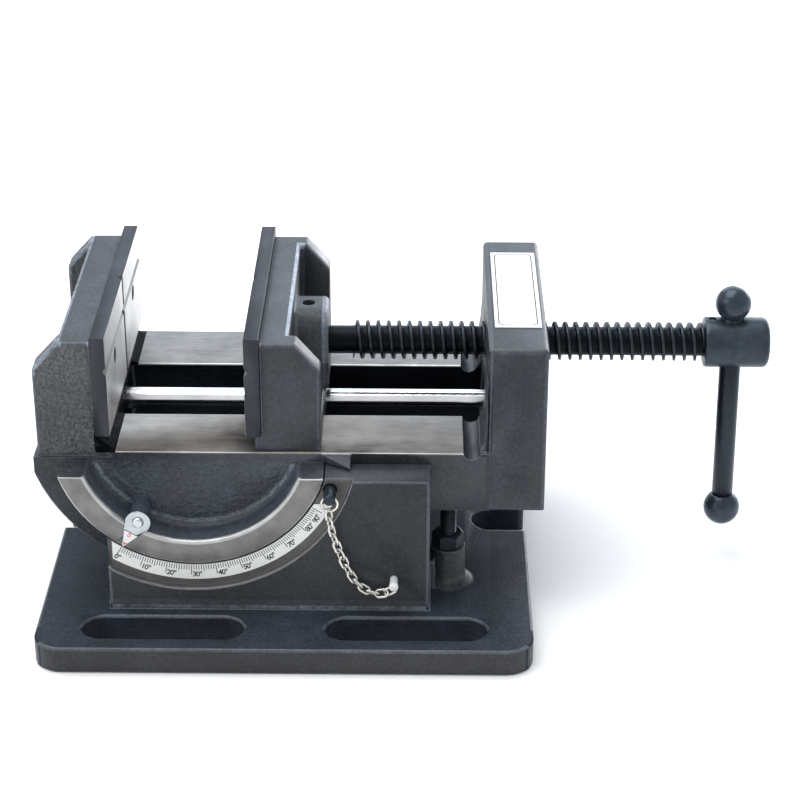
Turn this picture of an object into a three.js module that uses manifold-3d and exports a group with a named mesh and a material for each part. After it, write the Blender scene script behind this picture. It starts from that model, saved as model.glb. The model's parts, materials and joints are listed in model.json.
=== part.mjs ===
// Tilting machine vise: a slotted base with a cradle, a vise body that swings 0 to 90 degrees in
// it, a screw-driven moving jaw, a graduated arc with a pointer, and a locating pin on a chain.
// Millimetres, +Z up, +X towards the screw's handle, the graduated side faces -Y.
// The origin is the centre of the base plate's underside.
import * as THREE from "three";
import { mergeVertices } from "three/addons/utils/BufferGeometryUtils.js";
import Module from "manifold-3d";

const wasm = await Module();
wasm.setup();

// ---- driving dimensions -------------------------------------------------------------------
const GAP = 0.3; // running and seating gap between pieces

// base plate
const BASE_HALF_X = 86,
  BASE_HALF_Y = 90.5,
  BASE_T = 9.6,
  BASE_CORNER_R = 10;
const SLOT_Y = 76.6,
  SLOT_R = 7.1,
  SLOT_X0 = 14.2,
  SLOT_X1 = 70;
const END_SLOT_R = 8.15,
  END_SLOT_APEX = 66;

// tilt axis and the round parts about it
const TILT_X = -32,
  TILT_Z = 74;
const DISC_R = 59,
  RING_RO = 47.7,
  RING_RI = 39,
  RING_TOP = 60;
const RING_Y = 61.4,
  DISC_Y = 49;

// pedestal
const PED_X0 = -62,
  PED_X1 = 50,
  PED_TOP = 60,
  CHEEK_IN = 49.5,
  CHEEK_OUT = 63;
const CHEEK_R = 48.05,
  RECESS_R = 57,
  RECESS_Y = 61.0,
  SADDLE_R = 59.4,
  SADDLE_X1 = 30,
  SADDLE_TOP = 37;

// scale
const SCALE_RI = 48.3,
  SCALE_RO = 54,
  SCALE_ZERO = -31.2; // degrees from straight down to the 0 mark
const POINTER_R = 36.3; // the pointer's rivet from the tilt axis

// vise body
const WAY_Z = 63.7,
  SLAB_Z0 = 40.8,
  SLOT_HALF = 20.3,
  BED_SLOT_Z = 46;
const BLOCK_X0 = 69.7,
  BLOCK_X1 = 90.1,
  BLOCK_TOP = 102.8,
  BLOCK_Y = 47.6;
const JAW_TOP = 104.4,
  JAW_Y = 47.6,
  RIB_IN = 39.5;
const FJ_FACE = -66,
  FJ_WALL = -77.5,
  FJ_BACK = -86.3,
  FJ_LEDGE = 61.2,
  FJ_CHAMFER_Z = 94.7;

// jaw plates
const PLATE_T = 5.2,
  PLATE_Z0 = 69.9,
  PLATE_Z1 = 107.1,
  PLATE_Y = 50,
  PLATE_BOLT_Y = 26.5,
  PLATE_BOLT_Z = 89.9;
const FIXED_PLATE_X = -60.5,
  MOVING_PLATE_X = -13.7;

// moving jaw
const MJ_X0 = -8.4,
  MJ_WALL = 1.2,
  MJ_RIDGE = 3.9,
  MJ_X1 = 12.1,
  MJ_CHAMFER_Z = 94.8,
  MJ_LIP = 2.2;
const BOSS_X1 = 13.4,
  BOSS_HALF = 12,
  BOSS_FLAT = 4,
  BOSS_TOP = 98.5;

// screw
const SCREW_Z = 84,
  THREAD_R = 7,
  CORE_R = 5.1,
  PITCH = 3.75,
  THREAD_X0 = 22,
  THREAD_X1 = 148,
  SCREW_TIP = -1.5;
const HEAD_X0 = 148.5,
  HEAD_X1 = 171.9,
  HEAD_R = 9.1,
  BAR_X = 158.6,
  BAR_R = 3.8,
  BAR_TILT = 6;
const TOP_BALL = 14.6,
  LOW_BALL = 64.7,
  TOP_BALL_R = 6.4,
  LOW_BALL_R = 6.6;

// guide rod
const ROD_Z = 59.7,
  ROD_R = 4,
  ROD_X0 = -72,
  ROD_X1 = 86;

// locating pin, chain and hook
const PIN_RADIUS = 51,
  PIN_ANGLE = 69.1,
  PIN_R = 2.1,
  PIN_Y0 = -69,
  PIN_Y1 = -50,
  EYE_Y = -66.7;
const HOOK_X = 37.6,
  HOOK_Z = 21.6,
  HOOK_R = 1.3;

// level stop
const STOP_X = 56.6,
  STOP_Y = -43,
  STOP_BOSS_R = 6.1,
  STOP_BOSS_TOP = 24;

// rear clamp
const CLAMP_ANGLE = 40,
  CLAMP_BOLT_R = 54;

// ---- helpers ------------------------------------------------------------------------------
const rad = (d) => (d * Math.PI) / 180;

// a closed three.js geometry as a solid
function solid(geometry) {
  const g = geometry.clone();
  for (const name of Object.keys(g.attributes))
    if (name !== "position") g.deleteAttribute(name);
  const m = mergeVertices(g, 1e-4);
  return new wasm.Manifold(
    new wasm.Mesh({
      numProp: 3,
      vertProperties: new Float32Array(m.attributes.position.array),
      triVerts: new Uint32Array(m.index.array),
    }),
  );
}

// a solid as a three.js geometry
function geometryOf(s) {
  const m = s.getMesh(),
    n = m.numProp,
    v = new Float32Array(m.numVert * 3);
  for (let i = 0; i < m.numVert; i++)
    v.set(m.vertProperties.subarray(i * n, i * n + 3), i * 3);
  const g = new THREE.BufferGeometry();
  g.setAttribute("position", new THREE.BufferAttribute(v, 3));
  g.setIndex(new THREE.BufferAttribute(new Uint32Array(m.triVerts), 1));
  return g;
}

const join = (...all) => all.reduce((a, b) => a.add(b));
const cut = (a, ...all) => all.reduce((s, b) => s.subtract(b), a);

function box(x0, x1, y0, y1, z0, z1) {
  const g = new THREE.BoxGeometry(x1 - x0, y1 - y0, z1 - z0);
  g.translate((x0 + x1) / 2, (y0 + y1) / 2, (z0 + z1) / 2);
  return solid(g);
}

// a cylinder, or a cone frustum, from a to b along one axis; c holds its other two coordinates
function rod(axis, a, b, c, r, segments = 24, r2 = r) {
  const g = new THREE.CylinderGeometry(r2, r, b - a, segments);
  g.translate(0, (a + b) / 2, 0);
  if (axis === "x") {
    g.rotateZ(-Math.PI / 2);
    g.translate(0, c[0], c[1]);
  } else if (axis === "z") {
    g.rotateX(Math.PI / 2);
    g.translate(c[0], c[1], 0);
  } else g.translate(c[0], 0, c[1]);
  return solid(g);
}

// an outline in x and z, pushed along y from y0 to y1
function prismY(shape, y0, y1, curveSegments = 24) {
  const s = Array.isArray(shape)
    ? new THREE.Shape(shape.map((p) => new THREE.Vector2(p[0], p[1])))
    : shape;
  const g = new THREE.ExtrudeGeometry(s, {
    depth: y1 - y0,
    bevelEnabled: false,
    curveSegments,
  });
  g.rotateX(Math.PI / 2);
  g.translate(0, y1, 0);
  return solid(g);
}

// an outline in x and y, pushed up from z0 to z1
function prismZ(shape, z0, z1, curveSegments = 10) {
  const s = Array.isArray(shape)
    ? new THREE.Shape(shape.map((p) => new THREE.Vector2(p[0], p[1])))
    : shape;
  const g = new THREE.ExtrudeGeometry(s, {
    depth: z1 - z0,
    bevelEnabled: false,
    curveSegments,
  });
  g.translate(0, 0, z0);
  return solid(g);
}

// an outline in y and z, pushed along x from x0 to x1
function prismX(pts, x0, x1) {
  const g = new THREE.ExtrudeGeometry(
    new THREE.Shape(pts.map((p) => new THREE.Vector2(p[0], p[1]))),
    { depth: x1 - x0, bevelEnabled: false },
  );
  g.applyMatrix4(
    new THREE.Matrix4().makeBasis(
      new THREE.Vector3(0, 1, 0),
      new THREE.Vector3(0, 0, 1),
      new THREE.Vector3(1, 0, 0),
    ),
  );
  g.translate(x0, 0, 0);
  return solid(g);
}

function roundedRect(x0, x1, y0, y1, r) {
  const s = new THREE.Shape();
  s.moveTo(x0 + r, y0);
  s.lineTo(x1 - r, y0);
  s.absarc(x1 - r, y0 + r, r, -Math.PI / 2, 0, false);
  s.lineTo(x1, y1 - r);
  s.absarc(x1 - r, y1 - r, r, 0, Math.PI / 2, false);
  s.lineTo(x0 + r, y1);
  s.absarc(x0 + r, y1 - r, r, Math.PI / 2, Math.PI, false);
  s.lineTo(x0, y0 + r);
  s.absarc(x0 + r, y0 + r, r, Math.PI, 1.5 * Math.PI, false);
  return s;
}

// points on an arc about the tilt axis; angles in degrees, 0 along +X, 90 along +Z
function arc(r, from, to, step = 5) {
  const n = Math.max(1, Math.ceil(Math.abs(to - from) / step)),
    pts = [];
  for (let i = 0; i <= n; i++) {
    const t = rad(from + ((to - from) * i) / n);
    pts.push([TILT_X + r * Math.cos(t), TILT_Z + r * Math.sin(t)]);
  }
  return pts;
}

// a point at an angle from straight down, turning towards +X, about the tilt axis
const below = (r, deg) => [
  TILT_X + r * Math.sin(rad(deg)),
  TILT_Z - r * Math.cos(rad(deg)),
];

const group = new THREE.Group();
function add(name, s, colour, roughness, metalness) {
  const mesh = new THREE.Mesh(
    s.isBufferGeometry ? s : geometryOf(s),
    new THREE.MeshStandardMaterial({ color: colour, roughness, metalness }),
  );
  mesh.name = name;
  group.add(mesh);
  return mesh;
}

const PAINT = [0x45484d, 0.6, 0.1],
  GROUND = [0xb9b4aa, 0.35, 0.9],
  BRIGHT = [0xd6d8da, 0.18, 1],
  BLACK = [0x23262a, 0.4, 0.6],
  PLATED = [0xc8c8c4, 0.3, 1],
  WHITE = [0xefefec, 0.5, 0];

// ---- base ---------------------------------------------------------------------------------
const capsule = (x0, x1, y, r) => {
  const s = new THREE.Shape();
  s.moveTo(x0 + r, y - r);
  s.lineTo(x1 - r, y - r);
  s.absarc(x1 - r, y, r, -Math.PI / 2, Math.PI / 2, false);
  s.lineTo(x0 + r, y + r);
  s.absarc(x0 + r, y, r, Math.PI / 2, 1.5 * Math.PI, false);
  return s;
};

let base = prismZ(
  roundedRect(-BASE_HALF_X, BASE_HALF_X, -BASE_HALF_Y, BASE_HALF_Y, BASE_CORNER_R),
  0,
  BASE_T,
  6,
);
// cheeks: 1 mm of draft from top to foot, and a small flare where each meets the plate
const cheek = (side) => {
  const y = (v) => side * v;
  const pts = [
    [y(CHEEK_IN), 4],
    [y(CHEEK_OUT + 1.6), 4],
    [y(CHEEK_OUT + 1.6), BASE_T + 0.6],
    [y(CHEEK_OUT + 0.6), BASE_T + 2.2],
    [y(CHEEK_OUT), PED_TOP],
    [y(CHEEK_IN), PED_TOP],
  ];
  if (side < 0) pts.reverse();
  const g = new THREE.ExtrudeGeometry(
    new THREE.Shape(pts.map((p) => new THREE.Vector2(p[0], p[1]))),
    { depth: PED_X1 - PED_X0, bevelEnabled: false },
  );
  g.applyMatrix4(
    new THREE.Matrix4().makeBasis(
      new THREE.Vector3(0, 1, 0),
      new THREE.Vector3(0, 0, 1),
      new THREE.Vector3(1, 0, 0),
    ),
  );
  g.translate(PED_X0, 0, 0);
  return solid(g);
};
const saddle = box(PED_X0, SADDLE_X1, -CHEEK_IN - 1, CHEEK_IN + 1, 4, SADDLE_TOP);
base = join(base, cheek(-1), cheek(1), saddle);
base = base.add(
  join(
    rod("z", 4, STOP_BOSS_TOP, [STOP_X, STOP_Y], STOP_BOSS_R, 28),
    rod("z", BASE_T - 0.5, BASE_T + 0.7, [STOP_X, STOP_Y], STOP_BOSS_R + 4, 28, STOP_BOSS_R + 2.4),
    rod("z", BASE_T + 0.69, BASE_T + 2, [STOP_X, STOP_Y], STOP_BOSS_R + 2.4, 28, STOP_BOSS_R + 1.1),
    rod("z", BASE_T + 1.99, BASE_T + 4.4, [STOP_X, STOP_Y], STOP_BOSS_R + 1.1, 28, STOP_BOSS_R - 0.02),
    box(PED_X1 - 2, STOP_X, STOP_Y - 3, STOP_Y + 3, 4, STOP_BOSS_TOP - 3),
    box(PED_X1 - 2, PED_X1 + 2, -50.5, STOP_Y + 3, 4, STOP_BOSS_TOP - 3),
  ),
);
base = cut(
  base,
  // the round seats
  rod("y", -CHEEK_IN, CHEEK_IN, [TILT_X, TILT_Z], SADDLE_R, 72),
  rod("y", -80, 80, [TILT_X, TILT_Z], CHEEK_R + 0.05, 72),
  rod("y", -80, -RECESS_Y, [TILT_X, TILT_Z], RECESS_R, 72),
  // hold-down slots
  ...[-1, 1].flatMap((sy) => [
    prismZ(capsule(SLOT_X0, SLOT_X1, sy * SLOT_Y, SLOT_R), -1, BASE_T + 1, 8),
    prismZ(capsule(-SLOT_X1, -SLOT_X0, sy * SLOT_Y, SLOT_R), -1, BASE_T + 1, 8),
  ]),
  prismZ(capsule(END_SLOT_APEX, BASE_HALF_X + 20, 0, END_SLOT_R), -1, BASE_T + 1, 10),
  prismZ(capsule(-BASE_HALF_X - 20, -END_SLOT_APEX, 0, END_SLOT_R), -1, BASE_T + 1, 10),
  // locating pin, stop screw, clamp bolt and chain hook holes
  rod("y", -80, -CHEEK_IN + 1, below(PIN_RADIUS, PIN_ANGLE), PIN_R + 0.3, 24),
  rod("z", 4.5, STOP_BOSS_TOP + 1, [STOP_X, STOP_Y], 3.25, 20),
  rod("y", CHEEK_IN - 1, 80, below(CLAMP_BOLT_R, CLAMP_ANGLE), 3.3, 20),
  rod("y", -80, -57.5, [HOOK_X, HOOK_Z], HOOK_R + 0.3, 16),
);
add("base_casting", base, ...PAINT);

// ---- graduated arc on the front cheek -------------------------------------------------------
{
  const ring = prismY(
    [...arc(SCALE_RO, 220, 345, 4), ...arc(SCALE_RI, 345, 220, 4)],
    -RECESS_Y - 0.45,
    -RECESS_Y - 0.05,
  );
  add(
    "angle_scale",
    ring.intersect(box(-60.3, 40, -70, -50, 0, 50.3)),
    ...WHITE,
  );
}

// ---- vise body ------------------------------------------------------------------------------
const degAt = (r, z) => (Math.asin((z - TILT_Z) / r) * 180) / Math.PI; // angle above +X at height z
let body;
{
  const aWay = degAt(DISC_R, WAY_Z);
  // round underside up to the ways
  const lower = prismY(
    arc(DISC_R, 180 - aWay, 360 + aWay),
    -DISC_Y,
    DISC_Y,
  );
  const slab = box(TILT_X, BLOCK_X0 + 1, -DISC_Y, DISC_Y, SLAB_Z0, WAY_Z);
  // the screw block's ends lean in a little from the bed to its top
  const block = prismX(
    [
      [-DISC_Y, SLAB_Z0],
      [DISC_Y, SLAB_Z0],
      [BLOCK_Y, BLOCK_TOP],
      [-BLOCK_Y, BLOCK_TOP],
    ],
    BLOCK_X0,
    BLOCK_X1,
  );
  // fixed jaw: a wall with an upright rib at each end
  const ribShape = [
    [FJ_FACE, 55],
    [FJ_FACE, JAW_TOP],
    [FJ_WALL, JAW_TOP],
    [FJ_BACK, FJ_CHAMFER_Z],
    [FJ_BACK, 55],
  ];
  const rib = (y0, y1) => prismY(ribShape, y0, y1);
  const wall = prismY(
    [
      [FJ_FACE, 55],
      [FJ_FACE, JAW_TOP],
      [FJ_WALL, JAW_TOP],
      [FJ_WALL, 72],
      [FJ_BACK, 69],
      [FJ_BACK, 55],
    ],
    -RIB_IN - 1,
    RIB_IN + 1,
  );
  // coves at the foot of the fixed jaw and of the screw block
  const coveL = prismY(
    [
      [FJ_FACE - 1, 60],
      [-58.3, 60],
      [-58.3, WAY_Z],
      [-61.2, 64.6],
      [-64.2, 66.8],
      [FJ_FACE, 69.6],
      [FJ_FACE - 1, 69.6],
    ],
    -JAW_Y,
    JAW_Y,
  );
  const coveR = prismY(
    [
      [BLOCK_X0 + 1, 60],
      [BLOCK_X0 + 1, 80],
      [BLOCK_X0, 80],
      [BLOCK_X0 - 0.5, 72],
      [BLOCK_X0 - 1.2, 67],
      [BLOCK_X0 - 2.2, 64.2],
      [BLOCK_X0 - 2.4, 60],
    ],
    -BLOCK_Y,
    BLOCK_Y,
  );
  const aRo = degAt(RING_RO, RING_TOP),
    aRi = degAt(RING_RI, RING_TOP);
  const ring = (y0, y1) =>
    prismY(
      [
        ...arc(RING_RO, 180 - aRo, 360 + aRo),
        ...arc(RING_RI, 360 + aRi, 180 - aRi),
      ],
      y0,
      y1,
    );
  const lug = below(POINTER_R, SCALE_ZERO);
  // a three-cornered lug above each cheek, which stops the body level
  const stopLug = (side) => {
    const plan = prismZ(
      side < 0
        ? [
            [12.6, -DISC_Y + 1],
            [12.6, -DISC_Y - 0.6],
            [22.5, -55.3],
            [22.5, -DISC_Y + 1],
          ]
        : [
            [12.6, DISC_Y - 1],
            [22.5, DISC_Y - 1],
            [22.5, 55.3],
            [12.6, DISC_Y + 0.6],
          ],
      PED_TOP + GAP,
      WAY_Z - 0.4,
    );
    const slope = new THREE.ExtrudeGeometry(
      new THREE.Shape(
        [
          [-60, 61],
          [-55.6, 61],
          [-49.4, 63.6],
          [-49.4, 70],
          [-60, 70],
        ].map((p) => new THREE.Vector2(...p)),
      ),
      { depth: 20, bevelEnabled: false },
    );
    slope.applyMatrix4(
      new THREE.Matrix4().makeBasis(
        new THREE.Vector3(0, 1, 0),
        new THREE.Vector3(0, 0, 1),
        new THREE.Vector3(1, 0, 0),
      ),
    );
    slope.translate(8, 0, 0);
    if (side > 0) slope.rotateZ(Math.PI).translate(34, 0, 0);
    return plan.subtract(solid(slope));
  };
  body = join(
    lower,
    slab,
    block,
    rib(-JAW_Y, -RIB_IN),
    rib(RIB_IN, JAW_Y),
    wall,
    coveL,
    coveR,
    ring(-RING_Y, -DISC_Y + 1),
    ring(DISC_Y - 1, RING_Y),
    rod("y", -RING_Y, -DISC_Y + 1, lug, 3.5, 28),
    stopLug(-1),
    stopLug(1),
  );
  const holes = [0, -45, -90].map((t) =>
    rod("y", -DISC_Y - 1, -DISC_Y + 10, below(PIN_RADIUS, PIN_ANGLE + t), PIN_R + 0.3, 24),
  );
  body = cut(
    body,
    // the ledge about the fixed jaw's foot, and the flat behind it
    box(-100, FJ_FACE + 0.2, -60, -JAW_Y, FJ_LEDGE, 66),
    box(-100, FJ_FACE + 0.2, JAW_Y, 60, FJ_LEDGE, 66),
    box(-100, FJ_BACK, -60, 60, FJ_LEDGE, 66),
    box(-100, FJ_BACK - 1.5, -60, 60, 40, 66),
    // bed slot between the ways
    box(-61.6, BLOCK_X0, -SLOT_HALF, SLOT_HALF, BED_SLOT_Z, 80),
    // run-out groove at the foot of the screw block
    prismY(
      [
        [61.6, 80],
        [61.6, 63],
        [62.6, 61.7],
        [64.4, 61.2],
        [66.2, 61.7],
        [67.4, 63.2],
        [67.4, 64.2],
        [66.0, 80],
      ],
      -60,
      60,
    ),
    // screw hole, guide rod holes, grub screw hole, plate bolt holes, pointer rivet hole
    rod("x", 60, 100, [0, SCREW_Z], THREAD_R + 0.35, 36),
    rod("x", ROD_X0 - 0.5, ROD_X1 + 0.5, [0, ROD_Z], ROD_R + 0.25, 28),
    rod("z", 30, ROD_Z, [80, 0], 2.7, 18),
    rod("x", FJ_FACE - 8, FJ_FACE + 1, [-PLATE_BOLT_Y, PLATE_BOLT_Z], 2.3, 18),
    rod("x", FJ_FACE - 8, FJ_FACE + 1, [PLATE_BOLT_Y, PLATE_BOLT_Z], 2.3, 18),
    rod("y", -80, -RING_Y + 5, lug, 1.3, 16),
    ...holes,
  );
}
add("vise_body", body, ...PAINT);

// ---- jaw plates and their screws --------------------------------------------------------------
// The gripping face has one upright and one level V groove, and two counterbored holes.
function jawPlate(face, side) {
  // side is +1 where the gripping face looks to +X
  const back = face - side * PLATE_T,
    x0 = Math.min(face, back),
    x1 = Math.max(face, back);
  const vee = (alongY) => {
    const w = 1.5,
      d = 1.4,
      pts = [
        [-w, 0.5],
        [-w, 0],
        [0, -d],
        [w, 0],
        [w, 0.5],
      ];
    const g = new THREE.ExtrudeGeometry(
      new THREE.Shape(pts.map((p) => new THREE.Vector2(p[0], p[1]))),
      { depth: 140, bevelEnabled: false },
    );
    g.translate(0, 0, -70);
    // outline x across the groove, outline y out of the face
    const out = new THREE.Vector3(side, 0, 0),
      across = alongY ? new THREE.Vector3(0, 0, 1) : new THREE.Vector3(0, 1, 0);
    g.applyMatrix4(
      new THREE.Matrix4().makeBasis(across, out, new THREE.Vector3().crossVectors(across, out)),
    );
    g.translate(face, alongY ? 0 : 1.6, alongY ? 94.6 : 90);
    return solid(g);
  };
  const bore = (y, r, deep) =>
    side > 0
      ? rod("x", face - deep, face + 1, [y, PLATE_BOLT_Z], r, 24)
      : rod("x", face - 1, face + deep, [y, PLATE_BOLT_Z], r, 24);
  return cut(
    box(x0, x1, -PLATE_Y, PLATE_Y, PLATE_Z0, PLATE_Z1),
    vee(true),
    vee(false),
    ...[-PLATE_BOLT_Y, PLATE_BOLT_Y].flatMap((y) => [bore(y, 2.9, 3.6), bore(y, 2.0, 9)]),
  );
}
// a cap screw with a hexagon socket, its head in the plate's counterbore
function plateScrew(face, side, y) {
  const at = (a, b, r, n = 24) =>
    side > 0
      ? rod("x", face - b, face - a, [y, PLATE_BOLT_Z], r, n)
      : rod("x", face + a, face + b, [y, PLATE_BOLT_Z], r, n);
  return cut(join(at(0.6, 3.3, 2.6), at(3.2, 12.2, 1.7, 18)), at(-0.5, 2.2, 1.4, 6));
}
add("fixed_jaw_plate", jawPlate(FIXED_PLATE_X, 1), ...GROUND);
add("moving_jaw_plate", jawPlate(MOVING_PLATE_X, -1), ...GROUND);
add("fixed_plate_screw_front", plateScrew(FIXED_PLATE_X, 1, -PLATE_BOLT_Y), ...BLACK);
add("fixed_plate_screw_rear", plateScrew(FIXED_PLATE_X, 1, PLATE_BOLT_Y), ...BLACK);
add("moving_plate_screw_front", plateScrew(MOVING_PLATE_X, -1, -PLATE_BOLT_Y), ...BLACK);
add("moving_plate_screw_rear", plateScrew(MOVING_PLATE_X, -1, PLATE_BOLT_Y), ...BLACK);

// ---- moving jaw ---------------------------------------------------------------------------------
{
  const z0 = WAY_Z + 0.2;
  const rib = (y0, y1) =>
    prismY(
      [
        [MJ_X0, z0],
        [MJ_X1, z0],
        [MJ_X1, MJ_CHAMFER_Z],
        [MJ_RIDGE, JAW_TOP],
        [MJ_X0, JAW_TOP],
      ],
      y0,
      y1,
    );
  const wall = prismY(
    [
      [MJ_X0, z0],
      [MJ_X1, z0],
      [MJ_X1, 70],
      [MJ_X1 - 3, 72],
      [MJ_WALL + 2, 73.5],
      [MJ_WALL, 76],
      [MJ_WALL, JAW_TOP],
      [MJ_X0, JAW_TOP],
    ],
    -RIB_IN - 1,
    RIB_IN + 1,
  );
  // the screw's boss: an arch with round shoulders, drawn in at its end
  const arch = (inset) => {
    const r = BOSS_HALF - BOSS_FLAT,
      z = BOSS_TOP - r,
      pts = [[-BOSS_HALF + inset, 69]];
    for (let i = 0; i <= 6; i++) {
      const t = Math.PI - (i / 6) * (Math.PI / 2);
      pts.push([-BOSS_FLAT + (r - inset) * Math.cos(t), z + (r - inset) * Math.sin(t)]);
    }
    for (let i = 0; i <= 6; i++) {
      const t = Math.PI / 2 - (i / 6) * (Math.PI / 2);
      pts.push([BOSS_FLAT + (r - inset) * Math.cos(t), z + (r - inset) * Math.sin(t)]);
    }
    pts.push([BOSS_HALF - inset, 69]);
    return pts.reverse();
  };
  const boss = join(
    prismX(arch(0), MJ_WALL - 1, BOSS_X1 - 2.2),
    prismX(arch(0.6), MJ_WALL - 1, BOSS_X1 - 0.9),
    prismX(arch(1.8), MJ_WALL - 1, BOSS_X1),
  );
  const keel = box(MJ_X0, MJ_X1, -SLOT_HALF + 0.35, SLOT_HALF - 0.35, BED_SLOT_Z + 1, z0 + 1);
  // the foot's lip reaches a little way under the plate
  const lip = box(MJ_X0 - MJ_LIP, MJ_X0 + 1, -JAW_Y, JAW_Y, z0, PLATE_Z0 - 0.4);
  let jaw = join(rib(-JAW_Y, -RIB_IN), rib(RIB_IN, JAW_Y), wall, boss, keel, lip);
  jaw = cut(
    jaw,
    rod("x", SCREW_TIP - 0.6, 20, [0, SCREW_Z], CORE_R + 0.4, 32),
    rod("x", -20, 20, [0, ROD_Z], ROD_R + 0.35, 28),
    rod("z", SCREW_Z, 110, [6.1, 0], 2.3, 20),
    rod("x", MJ_X0 - 1, MJ_X0 + 8, [-PLATE_BOLT_Y, PLATE_BOLT_Z], 2.3, 18),
    rod("x", MJ_X0 - 1, MJ_X0 + 8, [PLATE_BOLT_Y, PLATE_BOLT_Z], 2.3, 18),
  );
  add("moving_jaw_casting", jaw, ...PAINT);
  // the keeper stands in the groove of the screw's tip and keeps the screw in the jaw
  add("screw_keeper_pin", rod("z", SCREW_Z + 3.65, 96.6, [6.1, 0], 2.0, 20), ...BLACK);
}

// ---- screw, head and handle ---------------------------------------------------------------------
{
  const axis = [0, SCREW_Z];
  // the thread is one helicoidal skin: root, flank, crest and flank repeated each pitch
  const steps = 10,
    n = Math.round(((THREAD_X1 - THREAD_X0) / PITCH + 2) * steps),
    profile = [
      [0, CORE_R + 0.1],
      [0.62, THREAD_R],
      [1.74, THREAD_R],
      [2.36, CORE_R + 0.1],
    ],
    pos = [],
    idx = [];
  for (let i = 0; i <= n; i++) {
    const t = (i / steps) * 2 * Math.PI,
      x = THREAD_X0 - 1.5 * PITCH + (i / steps) * PITCH;
    for (const [dx, r] of profile)
      pos.push(x + dx, r * Math.cos(t), SCREW_Z + r * Math.sin(t));
  }
  const at = (i, k) => 4 * i + k;
  for (let i = 0; i < n; i++)
    for (let k = 0; k < 4; k++) {
      if (k === 3 && i + 1 + steps > n) continue;
      const a = at(i, k),
        b = k < 3 ? at(i, k + 1) : at(i + steps, 0),
        c = at(i + 1, k),
        d = k < 3 ? at(i + 1, k + 1) : at(i + 1 + steps, 0);
      idx.push(a, d, b, a, c, d);
    }
  // close both ends with a fan to a point on the axis
  const first = [...Array(steps + 1).keys()].map((i) => at(i, 0)).concat([at(0, 3), at(0, 2), at(0, 1)]),
    last = [...Array(steps + 1).keys()].map((i) => at(n - steps + i, 3)).concat([at(n, 2), at(n, 1), at(n, 0)]);
  const fan = (loop, x, flip) => {
    const c = pos.length / 3;
    pos.push(x, 0, SCREW_Z);
    loop.forEach((v, i) => {
      const w = loop[(i + 1) % loop.length];
      flip ? idx.push(c, v, w) : idx.push(c, w, v);
    });
  };
  fan(first, THREAD_X0 - PITCH, false);
  fan(last, THREAD_X0 - 1.5 * PITCH + ((n - steps / 2) / steps) * PITCH + 1.2, true);
  const g = new THREE.BufferGeometry();
  g.setAttribute("position", new THREE.BufferAttribute(new Float32Array(pos), 3));
  g.setIndex(new THREE.BufferAttribute(new Uint32Array(idx), 1));
  const thread = solid(g).intersect(box(THREAD_X0, THREAD_X1, -20, 20, 60, 110));
  let screw = join(
    thread,
    rod("x", SCREW_TIP, THREAD_X0 + 0.8, axis, CORE_R, 24),
    rod("x", THREAD_X1 - 0.8, 153.6, axis, CORE_R, 24),
  );
  screw = cut(
    screw,
    // keeper groove, and the cross hole for the head's pin
    cut(rod("x", 3.8, 8.4, axis, 8, 16), rod("x", 3, 9, axis, 3.3, 16)),
    rod("z", 70, 100, [151.3, 0], 1.5, 12),
  );
  add("feed_screw", screw, ...BLACK);

  const tilt = new THREE.Matrix4()
    .makeTranslation(BAR_X, 0, SCREW_Z)
    .multiply(new THREE.Matrix4().makeRotationX(rad(-BAR_TILT)));
  // pieces along the bar are made about +Z and then leaned
  const lean = (s) => {
    const gg = geometryOf(s);
    gg.applyMatrix4(tilt);
    return solid(gg);
  };
  const headProfile = [
    [0, HEAD_X0],
    [HEAD_R - 1, HEAD_X0],
    [HEAD_R, HEAD_X0 + 1],
    [HEAD_R, HEAD_X1 - 2.2],
    [HEAD_R - 0.7, HEAD_X1 - 0.8],
    [HEAD_R - 2.4, HEAD_X1],
    [0, HEAD_X1],
  ].map((p) => new THREE.Vector2(p[0], p[1]));
  const hg = new THREE.LatheGeometry(headProfile, 28);
  hg.rotateZ(-Math.PI / 2);
  hg.translate(0, 0, SCREW_Z);
  let head = solid(hg);
  head = cut(
    head,
    rod("x", HEAD_X0 - 1, 154, axis, CORE_R + 0.3, 24),
    rod("z", 70, 100, [151.3, 0], 1.5, 12),
    lean(rod("z", -20, 20, [0, 0], BAR_R + 0.35, 20)),
  );
  add("screw_head", head, ...BLACK);
  add(
    "head_pin",
    rod("z", SCREW_Z - 8.6, SCREW_Z + 8.6, [151.3, 0], 1.2, 12),
    ...BLACK,
  );

  const ball = (z, r, into) => {
    // into is the side the bar comes in from: +1 from above, -1 from below
    const sg = new THREE.SphereGeometry(r, 20, 12);
    sg.rotateX(Math.PI / 2);
    sg.translate(0, 0, z);
    const flat = Math.sqrt(r * r - BAR_R * BAR_R);
    return cut(
      solid(sg),
      into > 0 ? box(-9, 9, -9, 9, z + flat, z + 20) : box(-9, 9, -9, 9, z - 20, z - flat),
      into > 0
        ? rod("z", z - 0.5, z + 20, [0, 0], 2.5, 16)
        : rod("z", z - 20, z + 0.5, [0, 0], 2.5, 16),
    );
  };
  const topFlat = Math.sqrt(TOP_BALL_R ** 2 - BAR_R ** 2),
    lowFlat = Math.sqrt(LOW_BALL_R ** 2 - BAR_R ** 2);
  add("handle_ball_top", lean(ball(TOP_BALL, TOP_BALL_R, -1)), ...BLACK);
  add("handle_ball_bottom", lean(ball(-LOW_BALL, LOW_BALL_R, 1)), ...BLACK);
  add(
    "handle_bar",
    lean(
      join(
        rod("z", -LOW_BALL + lowFlat + 0.1, TOP_BALL - topFlat - 0.1, [0, 0], BAR_R, 28),
        rod("z", -LOW_BALL - 0.1, TOP_BALL + 0.1, [0, 0], 2.2, 16),
      ),
    ),
    ...BLACK,
  );
}

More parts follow.
